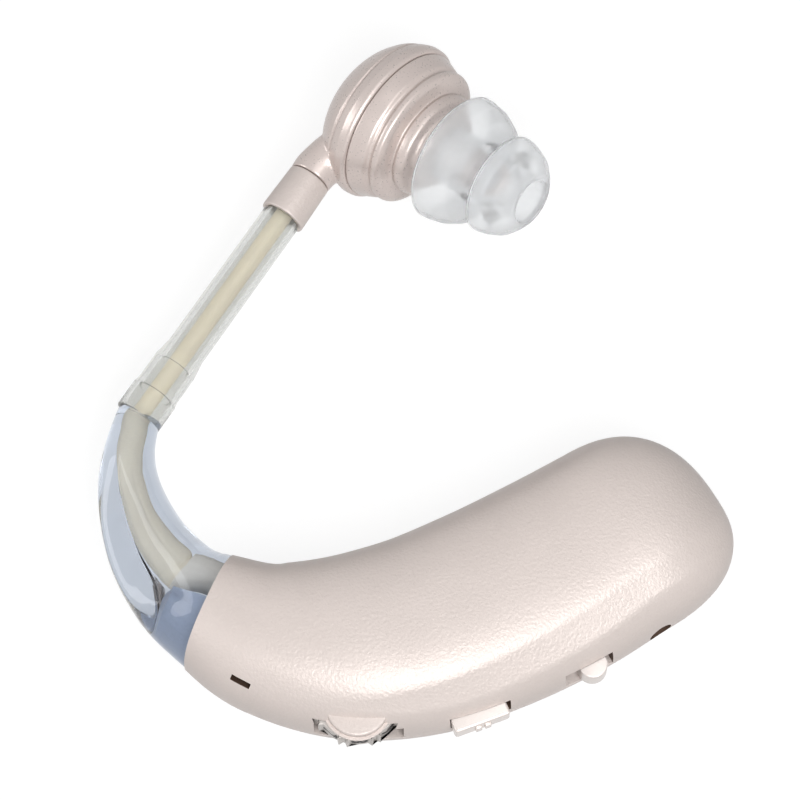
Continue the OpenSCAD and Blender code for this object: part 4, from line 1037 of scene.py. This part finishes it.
def wire_line(h, c):
    """The wire's line: from inside the case, through the boot, the hook and the tube."""
    rows = hook_rows(h, c)
    d = -heading(case_rows(c), 0)[0]
    start = np.array([c.joint_x, c.joint_y]) - side(d) * WIRE_SIDE * h.width
    r = curve(rows, WIRE_STATIONS)
    middle = r[:, :2] - side(heading(rows, WIRE_STATIONS)) * r[:, 4:]
    stops = (WIRE_STOPS * (h.seam - h.sleeve_length + WIRE_SLEEVE))[:, None]
    straight = rows[-1, :2] + tube_heading(h) * stops
    line = np.vstack([start - d * WIRE_IN, start, start + d * WIRE_OUT, middle, straight])
    return np.column_stack([whole_curve(line, WIRE_RINGS), np.full(WIRE_RINGS, h.line)])


class AMPLIFIER_OT_hook(bpy.types.Operator):
    """Makes the clear ear hook and the wire that runs in it"""
    bl_idname = "amplifier.hook"
    bl_label = "Ear hook"

    def execute(self, context):
        c, h = context.scene.amp_case, context.scene.amp_hook
        clear = clear_finish("clear_hook", tuple(h.clear), 0.04, 1.5, 1, 1.42)
        # The sheath's colour is its cream, lightened to paint the light that the clear hook and
        # tube take off it.
        jacket_painted_light = finish("wire_jacket_painted_light", tuple(h.jacket_painted_light), 0.5, grain=0.2, bump=1, subsurface=0.2)
        t = np.linspace(0, len(HOOK_SHARES) - 1, HOOK_RINGS)
        made("ear_hook_shell", [loft(hook_rings(h, c, t))], "housing", clear,
             replaces=["ear_hook"], sharp=50)
        made("wire_jacket_painted_light", [sweep(wire_line(h, c), h.sheath, WIRE_POINTS)], "housing", jacket_painted_light,
             replaces=["wire_sheath"], sharp=60)
        return {"FINISHED"}


def tube_profile(h):
    """Half section of the tube as (distance, radius): wide over the hook's collar and nipple,
    thin where the sleeve grips it."""
    outer, bore = h.tube_radius, h.tube_radius - h.tube_wall
    grip = h.seam - h.sleeve_length - SIDE_GAP
    nipple, nipple_end = h.nipple + TUBE_FIT, h.nipple_length + TUBE_FIT
    plain = [(TUBE_SWELL_END, outer), (grip, outer), (grip, TUBE_GRIP),
             (h.tube_length, TUBE_GRIP), (h.tube_length, bore)]
    inside = [(nipple_end, bore), (nipple_end, nipple), (TUBE_POCKET, nipple),
              (TUBE_POCKET, TUBE_MOUTH[0, 1])]
    return np.vstack([TUBE_MOUTH, plain, inside])


def sleeve_profile(h):
    """Half section of the sleeve as (distance, radius): it grips the tube and, in its narrower
    end, holds the swivel bush."""
    start, end = h.seam - h.sleeve_length, h.seam
    step = start + SLEEVE_GRIP
    return [(start, SLEEVE_BORE), (start, h.sleeve),
            (start + SLEEVE_FLARE, h.sleeve + SLEEVE_RISE), (end, h.sleeve - SLEEVE_TAPER),
            (end, SLEEVE_BUSH), (step, SLEEVE_BUSH), (step, SLEEVE_BORE)]


def tube_piece(profile, h, c):
    """A closed profile of (distance, radius) carried round the tube's line."""
    points, faces = revolve(profile, TUBE_POINTS)
    return at((points[:, [1, 2, 0]], faces), *tube_place(h, c))


class AMPLIFIER_OT_tube(bpy.types.Operator):
    """Makes the silicone tube and the sleeve at its head end"""
    bl_idname = "amplifier.tube"
    bl_label = "Tube and sleeve"

    def execute(self, context):
        c, h = context.scene.amp_case, context.scene.amp_hook
        milky = clear_finish("tube_silicone", tuple(h.milky), 0.14, 0.6, 0.9, 1.3)
        made("tube_skin", [tube_piece(soften(tube_profile(h), TUBE_CORNER), h, c)], "housing",
             milky, replaces=["silicone_tube"], sharp=50)
        made("sleeve", [tube_piece(soften(sleeve_profile(h), SLEEVE_CORNER), h, c)], "housing",
             case_lacquer(c), replaces=["stem_sleeve"], sharp=40)
        return {"FINISHED"}


# ---------------------------------------------------------------- receiver head

# Stations of the neck: distance beyond the swivel in shares of the head's, shift towards the
# head's middle in shares of its place to the side, and radius in shares of the sleeve's
NECK_SHARES = np.array([
    [0.012, 0, 0.95], [0.10, 0.005, 0.99], [0.17, 0.03, 1.01], [0.27, 0.1, 1.06],
    [0.38, 0.19, 1.12], [0.5, 0.26, 1.08], [0.6, 0.32, 1]])
# Half sections in shares of the depth and the radius: the back cover's dome, its lip up to the
# seam, and the front housing's steps
BACK_SHARES = [(-1, 0.0), (-0.985, 0.26), (-0.93, 0.46), (-0.82, 0.65), (-0.68, 0.80),
               (-0.5, 0.92), (-0.37, 0.972)]
LIP_SHARES = [(-0.37, 0.965), (-0.34, 0.945), (-0.31, 0.99), (-0.17, 1.022), (-0.05, 1.015),
              (-0.006, 0.985), (-0.006, 0.2)]
LIP_CORNER = 0.012
FRONT_SHARES = [(0.006, 0.975), (0.10, 0.955), (0.29, 0.90), (0.335, 0.855), (0.375, 0.85),
                (0.44, 0.885), (0.52, 0.87), (0.575, 0.80), (0.60, 0.70), (0.625, 0.655),
                (0.655, 0.65), (0.69, 0.675), (0.80, 0.665), (0.86, 0.64), (0.90, 0.57),
                (0.95, 0.54), (1.0, 0.53), (1.0, 0.474)]
# The nozzle's foot in front of the front housing and its radius, where its bore widens behind
# the front, and the hollow of the housing as (distance, radius)
NOZZLE_FOOT, NOZZLE_FOOT_RADIUS, BORE_END = mm(0.5, 3.6, 0.2)
HOLLOW = mm((4.2, 2.0), (3.0, 3.4), (2.0, 4.6), (1.2, 5.6), (0.1, 5.9))
HEAD_CORNER = 0.17 * MM
# Points round the head and the ear tip, stations on the dome, rings and points of the neck
ROUND, DOME_STATIONS, NECK_RINGS, NECK_POINTS = 160, 70, 40, 64
# The skin that joins neck and cover: size of its faces, and how it is eased afterwards
SKIN_GRAIN, EASE_SHARE, EASE_STEPS = 0.085 * MM, 0.5, 3


def neck_rings(d, h, c):
    """Rings of the neck: along the tube, drawn towards the head's middle."""
    s = whole_curve(NECK_SHARES, NECK_RINGS)
    t = tube_heading(h)
    start = tube_place(h, c)[1][:2]
    centre = start + t * (h.seam + s[:, :1] * d.along) - side(t) * s[:, 1:2] * d.side
    r = s[:, 2] * h.sleeve
    a = ring_angles(NECK_POINTS)[None, :]
    xy = centre[:, None] + side(t) * (r[:, None] * np.cos(a))[..., None]
    z = h.line + d.lift * s[:, 1:2] + r[:, None] * np.sin(a)
    return np.concatenate([xy, z[..., None]], -1)


def back_profile(d):
    """Half section of the back cover: a smooth dome, then a lip with a groove before it."""
    lip = soften(LIP_SHARES, LIP_CORNER, closed=False)
    return np.vstack([whole_curve(BACK_SHARES, DOME_STATIONS), lip[1:]]) * [d.back, d.radius]


def front_profile(d):
    """Half section of the front housing: the steps, the nozzle, its bore and the hollow."""
    foot, end = d.front + NOZZLE_FOOT, d.front + d.nozzle_length
    steps = np.array(FRONT_SHARES) * np.array([d.front, d.radius])
    nozzle = [(foot, NOZZLE_FOOT_RADIUS), (foot, d.nozzle), (end, d.nozzle), (end, d.bore),
              (d.front - BORE_END, d.bore)]
    return soften(np.vstack([steps, nozzle, HOLLOW]), HEAD_CORNER, 6)


class AMPLIFIER_OT_head(bpy.types.Operator):
    """Makes the receiver head's back cover with its neck, and its stepped front housing"""
    bl_idname = "amplifier.head"
    bl_label = "Receiver head"

    def execute(self, context):
        c, h, d = context.scene.amp_case, context.scene.amp_hook, context.scene.amp_head
        turn, origin = head_place(d, h, c)
        paint = head_lacquer(d)
        shell = at(revolve(back_profile(d), ROUND, d.oval, closed=False), turn, origin)
        mesh = raw_mesh("head_back", [shell, loft(neck_rings(d, h, c))])
        clean(mesh, COVER_MERGE)
        piece = linked("head_back", mesh)
        weld = piece.modifiers.new("weld", "REMESH")
        weld.mode = "VOXEL"
        weld.voxel_size = SKIN_GRAIN
        weld.use_smooth_shade = True
        ease = piece.modifiers.new("ease", "SMOOTH")
        ease.factor = EASE_SHARE
        ease.iterations = EASE_STEPS
        evaluated(piece)
        dressed(piece, "head", paint, ["head_back_cover"], sharp=60)
        made("head_front", [at(revolve(front_profile(d), ROUND, d.oval), turn, origin)], "head",
             paint, replaces=["head_front_housing"], sharp=50)
        return {"FINISHED"}


# Half section of the ear tip in shares of its length and radius: two flanges on a sleeve
TIP_SHARES = np.array([
    (0, 0.3417), (0, 0.40), (0.16, 0.42), (0.36, 0.44), (0.30, 0.62), (0.18, 0.78),
    (0.05, 0.90), (0.05, 0.98), (0.10, 1), (0.26, 0.95), (0.40, 0.84), (0.52, 0.66),
    (0.57, 0.50), (0.66, 0.48), (0.72, 0.56), (0.64, 0.70), (0.60, 0.745), (0.64, 0.785),
    (0.74, 0.75), (0.86, 0.67), (0.95, 0.53), (1, 0.42), (1, 0.3417)])
TIP_CORNER = 0.25 * MM
# The flanges' thin rims: place and radius in the same shares, and the bead's radius and points
RIM_SHARES = np.array([(0.075, 0.985), (0.635, 0.768)])
RIM_BEAD, BEAD_POINTS = 0.07 * MM, 16


class AMPLIFIER_OT_tip(bpy.types.Operator):
    """Makes the soft ear tip with its two flanges"""
    bl_idname = "amplifier.tip"
    bl_label = "Ear tip"

    def execute(self, context):
        c, h, d = context.scene.amp_case, context.scene.amp_hook, context.scene.amp_head
        turn, origin = head_place(d, h, c)
        soft = clear_finish("tip_silicone", tuple(d.silicone), 0.26, 0.5, 0.72, 1.15)
        rim = clear_finish("tip_rim", tuple(d.rim), 0.3, 0.3, 0.2, 1.2)
        scale, start = np.array([d.tip_length, d.tip_radius]), np.array([d.tip_rest, 0])
        profile = soften(TIP_SHARES * scale + start, TIP_CORNER, 6)
        made("ear_tip_skin", [at(revolve(profile, ROUND), turn, origin)], "ear_tip", soft,
             replaces=["ear_tip"], sharp=60)
        a = ring_angles(BEAD_POINTS)
        bead = np.stack([np.cos(a), np.sin(a)], -1) * RIM_BEAD
        rims = [at(revolve(bead + middle, ROUND), turn, origin)
                for middle in RIM_SHARES * scale + start]
        made("ear_tip_rims", rims, "ear_tip", rim, sharp=60)
        return {"FINISHED"}


# ---------------------------------------------------------------- CAD nodes that stay

class AMPLIFIER_OT_inside(bpy.types.Operator):
    """Gives each CAD node that stays its finish"""
    bl_idname = "amplifier.inside"
    bl_label = "Inner pieces"

    def execute(self, context):
        steel = finish("bright_steel", (0.62, 0.62, 0.63), 0.28, 1, grain=0.15, bump=0.6)
        tin = finish("tinned_sheet", (0.66, 0.66, 0.67), 0.36, 1, bump=1)
        brass = finish("spring_brass", (0.72, 0.56, 0.28), 0.3, 1, grain=0.2, bump=0.6)
        black = finish("moulded_black", (0.03, 0.03, 0.033), 0.5, grain=0.2, bump=1.5)
        foam = finish("foam", (0.05, 0.05, 0.05), 0.95, grain=0.25, bump=40, mottle=0.3)
        grey = finish("moulded_grey", (0.30, 0.31, 0.33), 0.5, grain=0.2, bump=1.5)
        blue = finish("mount_plastic", (0.44, 0.50, 0.62), 0.42, bump=2, mottle=0.06)
        # The boot's cream rubber is lightened like the sheath, to paint the light that the clear
        # hook takes off it.
        cream = finish("boot_rubber_painted_light", (0.95, 0.88, 0.76), 0.55, bump=2)
        board = finish("glass_fibre_board", (0.05, 0.20, 0.09), 0.42, grain=0.5, bump=4,
                       mottle=0.25, coat=0.4)
        pouch = finish("foil_pouch", (0.55, 0.57, 0.60), 0.35, 0.8, grain=1.2, bump=12)
        film = finish("speaker_film", (0.62, 0.50, 0.30), 0.3, bump=2, coat=0.3)
        magnet = finish("sintered_magnet", (0.16, 0.165, 0.175), 0.45, 0.9, grain=0.12, bump=2)
        red = finish("lead_insulation", (0.42, 0.05, 0.04), 0.45, grain=0.1, bump=0.5)
        sleeve = finish("capacitor_sleeve", (0.55, 0.42, 0.25), 0.4, 0.3, grain=0.2, bump=1)
        kept = {
            "case_screws": steel, "board_screws": steel, "main_board": board,
            "amplifier_chip": black, "charge_chip": black, "capacitors": sleeve,
            "chip_resistors": black, "crystal": tin, "battery_cell": pouch,
            "battery_pad": foam, "battery_tabs": tin, "microphone": black,
            "microphone_boot": black, "volume_pot": grey, "wheel_cap": steel,
            "wheel_wiper": brass, "tact_plunger": black, "tact_switch": tin,
            "switch_can": tin, "switch_slider": black, "charge_socket": black,
            "charge_ring": steel, "charge_pin": steel, "hook_mount": blue,
            "wire_boot": cream, "swivel_bush": steel, "head_gasket": foam,
            "speaker_basket": tin, "speaker_magnet": magnet, "speaker_diaphragm": film,
            "receiver_leads": red, "nozzle_mesh": tin,
        }
        for name, material in kept.items():
            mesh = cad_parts[name].data
            mesh.materials.clear()
            mesh.materials.append(material)
        return {"FINISHED"}


# ---------------------------------------------------------------- stage

# Half the floor's side, and how far it lies under the object
FLOOR_HALF, FLOOR_DROP = 0.6, 0.02 * MM
# The world's dark and bright side for the light on the object, as (place, level)
WORLD_DARK, WORLD_BRIGHT = (0.12, 0.02), (0.85, 0.24)
# Lamps: name, place, point that it looks at, sides in metres, power in watts
LAMPS = (("front_softbox", (0.10, -0.27, 0.42), (0, -0.01, 0), (0.34, 0.26), 1.75),
         ("top_softbox", (0.16, 0.02, 0.5), (0, 0, 0), (0.3, 0.3), 0.3),
         ("left_softbox", (-0.45, 0.05, 0.25), (0, 0, 0), (0.25, 0.25), 0.7))
# Width of the camera's sensor in millimetres, and the nearest and farthest that it sees
SENSOR, NEAR, FAR = 36, 0.01, 10


def shown(nodes, links):
    """Socket that is one for camera, glossy and transmission rays, which see the plain white
    background, and nothing for the rays that light the object."""
    path = nodes.new("ShaderNodeLightPath")
    first, both = nodes.new("ShaderNodeMath"), nodes.new("ShaderNodeMath")
    first.operation = both.operation = "MAXIMUM"
    links.new(path.outputs["Is Camera Ray"], first.inputs[0])
    links.new(path.outputs["Is Transmission Ray"], first.inputs[1])
    links.new(first.outputs[0], both.inputs[0])
    links.new(path.outputs["Is Glossy Ray"], both.inputs[1])
    return both.outputs[0]


def floor_paper(s):
    """Pale paper: a darker colour for the light, a plain glow for the rays that show it."""
    mat = bpy.data.materials.new("floor_paper")
    mat.use_nodes = True
    nodes, links = mat.node_tree.nodes, mat.node_tree.links
    shader = nodes["Principled BSDF"]
    shader.inputs["Base Color"].default_value = (*s.floor, 1)
    shader.inputs["Roughness"].default_value = 0.9
    shader.inputs["Specular IOR Level"].default_value = 0.1
    level = nodes.new("ShaderNodeMath")
    level.operation = "MULTIPLY"
    level.inputs[1].default_value = s.glow
    links.new(shown(nodes, links), level.inputs[0])
    glow = nodes.new("ShaderNodeEmission")
    links.new(level.outputs[0], glow.inputs["Strength"])
    both = nodes.new("ShaderNodeAddShader")
    links.new(shader.outputs[0], both.inputs[0])
    links.new(glow.outputs[0], both.inputs[1])
    links.new(both.outputs[0], nodes["Material Output"].inputs["Surface"])
    return mat


def studio():
    """The world: white for the rays that show it, and for the light on the object a grey that
    grows brighter by direction, from +Y to -Y."""
    world = bpy.data.worlds.new("studio")
    world.use_nodes = True
    nodes, links = world.node_tree.nodes, world.node_tree.links
    ground = nodes["Background"]
    ground.inputs["Strength"].default_value = 1
    place = nodes.new("ShaderNodeTexCoord")
    split = nodes.new("ShaderNodeSeparateXYZ")
    links.new(place.outputs["Generated"], split.inputs[0])
    tilt = nodes.new("ShaderNodeMath")
    tilt.operation = "MULTIPLY_ADD"
    tilt.inputs[1].default_value = -0.5
    tilt.inputs[2].default_value = 0.5
    links.new(split.outputs["Y"], tilt.inputs[0])
    ramp = nodes.new("ShaderNodeValToRGB")
    for stop, (position, level) in zip(ramp.color_ramp.elements, (WORLD_DARK, WORLD_BRIGHT)):
        stop.position = position
        stop.color = (level, level, level, 1)
    links.new(tilt.outputs[0], ramp.inputs["Fac"])
    pick = nodes.new("ShaderNodeMix")
    pick.data_type = "RGBA"
    pick.inputs[7].default_value = (1, 1, 1, 1)
    links.new(shown(nodes, links), pick.inputs[0])
    links.new(ramp.outputs["Color"], pick.inputs[6])
    links.new(pick.outputs[2], ground.inputs["Color"])
    return world


def lamp(name, place, aim, size, power):
    """A soft lamp that looks at a point."""
    data = bpy.data.lights.new(name, "AREA")
    data.shape = "RECTANGLE"
    data.size, data.size_y = size
    data.energy = power
    piece = linked(name, data)
    piece.location = place
    piece.rotation_euler = (Vector(aim) - Vector(place)).to_track_quat("-Z", "Y").to_euler()


class AMPLIFIER_OT_stage(bpy.types.Operator):
    """Makes the floor, the lamps, the world and the camera"""
    bl_idname = "amplifier.stage"
    bl_label = "Stage"

    def execute(self, context):
        s = context.scene.amp_stage
        half = FLOOR_HALF
        mesh = bpy.data.meshes.new("floor")
        mesh.from_pydata([(-half, -half, 0), (half, -half, 0), (half, half, 0),
                          (-half, half, 0)], [], [(0, 1, 2, 3)])
        mesh.materials.append(floor_paper(s))
        floor = linked("floor", mesh)
        floor.location.z = -FLOOR_DROP
        context.scene.world = studio()
        for values in LAMPS:
            lamp(*values)

        camera = bpy.data.cameras.new("camera")
        camera.lens = s.lens
        camera.sensor_width = SENSOR
        camera.clip_start, camera.clip_end = NEAR, FAR
        eye = linked("camera", camera)
        back = Vector((0, -math.cos(s.elevation), math.sin(s.elevation)))
        eye.location = Vector(s.target) + s.distance * back
        eye.rotation_euler = (math.pi / 2 - s.elevation, 0, 0)
        context.scene.camera = eye
        context.scene.view_settings.view_transform = "Standard"
        return {"FINISHED"}


# ---------------------------------------------------------------- panel and running

STEPS = (AMPLIFIER_OT_case, AMPLIFIER_OT_wheel, AMPLIFIER_OT_buttons, AMPLIFIER_OT_hook,
         AMPLIFIER_OT_tube, AMPLIFIER_OT_head, AMPLIFIER_OT_tip, AMPLIFIER_OT_inside,
         AMPLIFIER_OT_stage)
SETTINGS = (("amp_case", CaseSettings), ("amp_wheel", WheelSettings),
            ("amp_hook", HookSettings), ("amp_head", HeadSettings),
            ("amp_stage", StageSettings))


class AMPLIFIER_PT_panel(bpy.types.Panel):
    """Lists the operators and the settings"""
    bl_idname = "AMPLIFIER_PT_panel"
    bl_label = "Sound amplifier"
    bl_space_type = "VIEW_3D"
    bl_region_type = "UI"
    bl_category = "Amplifier"

    def draw(self, context):
        for step in STEPS:
            self.layout.operator(step.bl_idname)
        for name, group in SETTINGS:
            box = self.layout.box()
            for prop in group.__annotations__:
                box.prop(getattr(context.scene, name), prop)


def register():
    """Registers the classes, and hangs the settings on the scene."""
    for _, group in SETTINGS:
        bpy.utils.register_class(group)
    for name, group in SETTINGS:
        setattr(bpy.types.Scene, name, PointerProperty(type=group))
    for step in STEPS:
        bpy.utils.register_class(step)
    bpy.utils.register_class(AMPLIFIER_PT_panel)


def unregister():
    """Takes back what register did."""
    bpy.utils.unregister_class(AMPLIFIER_PT_panel)
    for step in reversed(STEPS):
        bpy.utils.unregister_class(step)
    for name, group in reversed(SETTINGS):
        delattr(bpy.types.Scene, name)
        bpy.utils.unregister_class(group)


def main():
    """Runs each operator in turn."""
    register()
    bpy.ops.amplifier.case()
    bpy.ops.amplifier.wheel()
    bpy.ops.amplifier.buttons()
    bpy.ops.amplifier.hook()
    bpy.ops.amplifier.tube()
    bpy.ops.amplifier.head()
    bpy.ops.amplifier.tip()
    bpy.ops.amplifier.inside()
    bpy.ops.amplifier.stage()


if __name__ == "__main__":
    main()
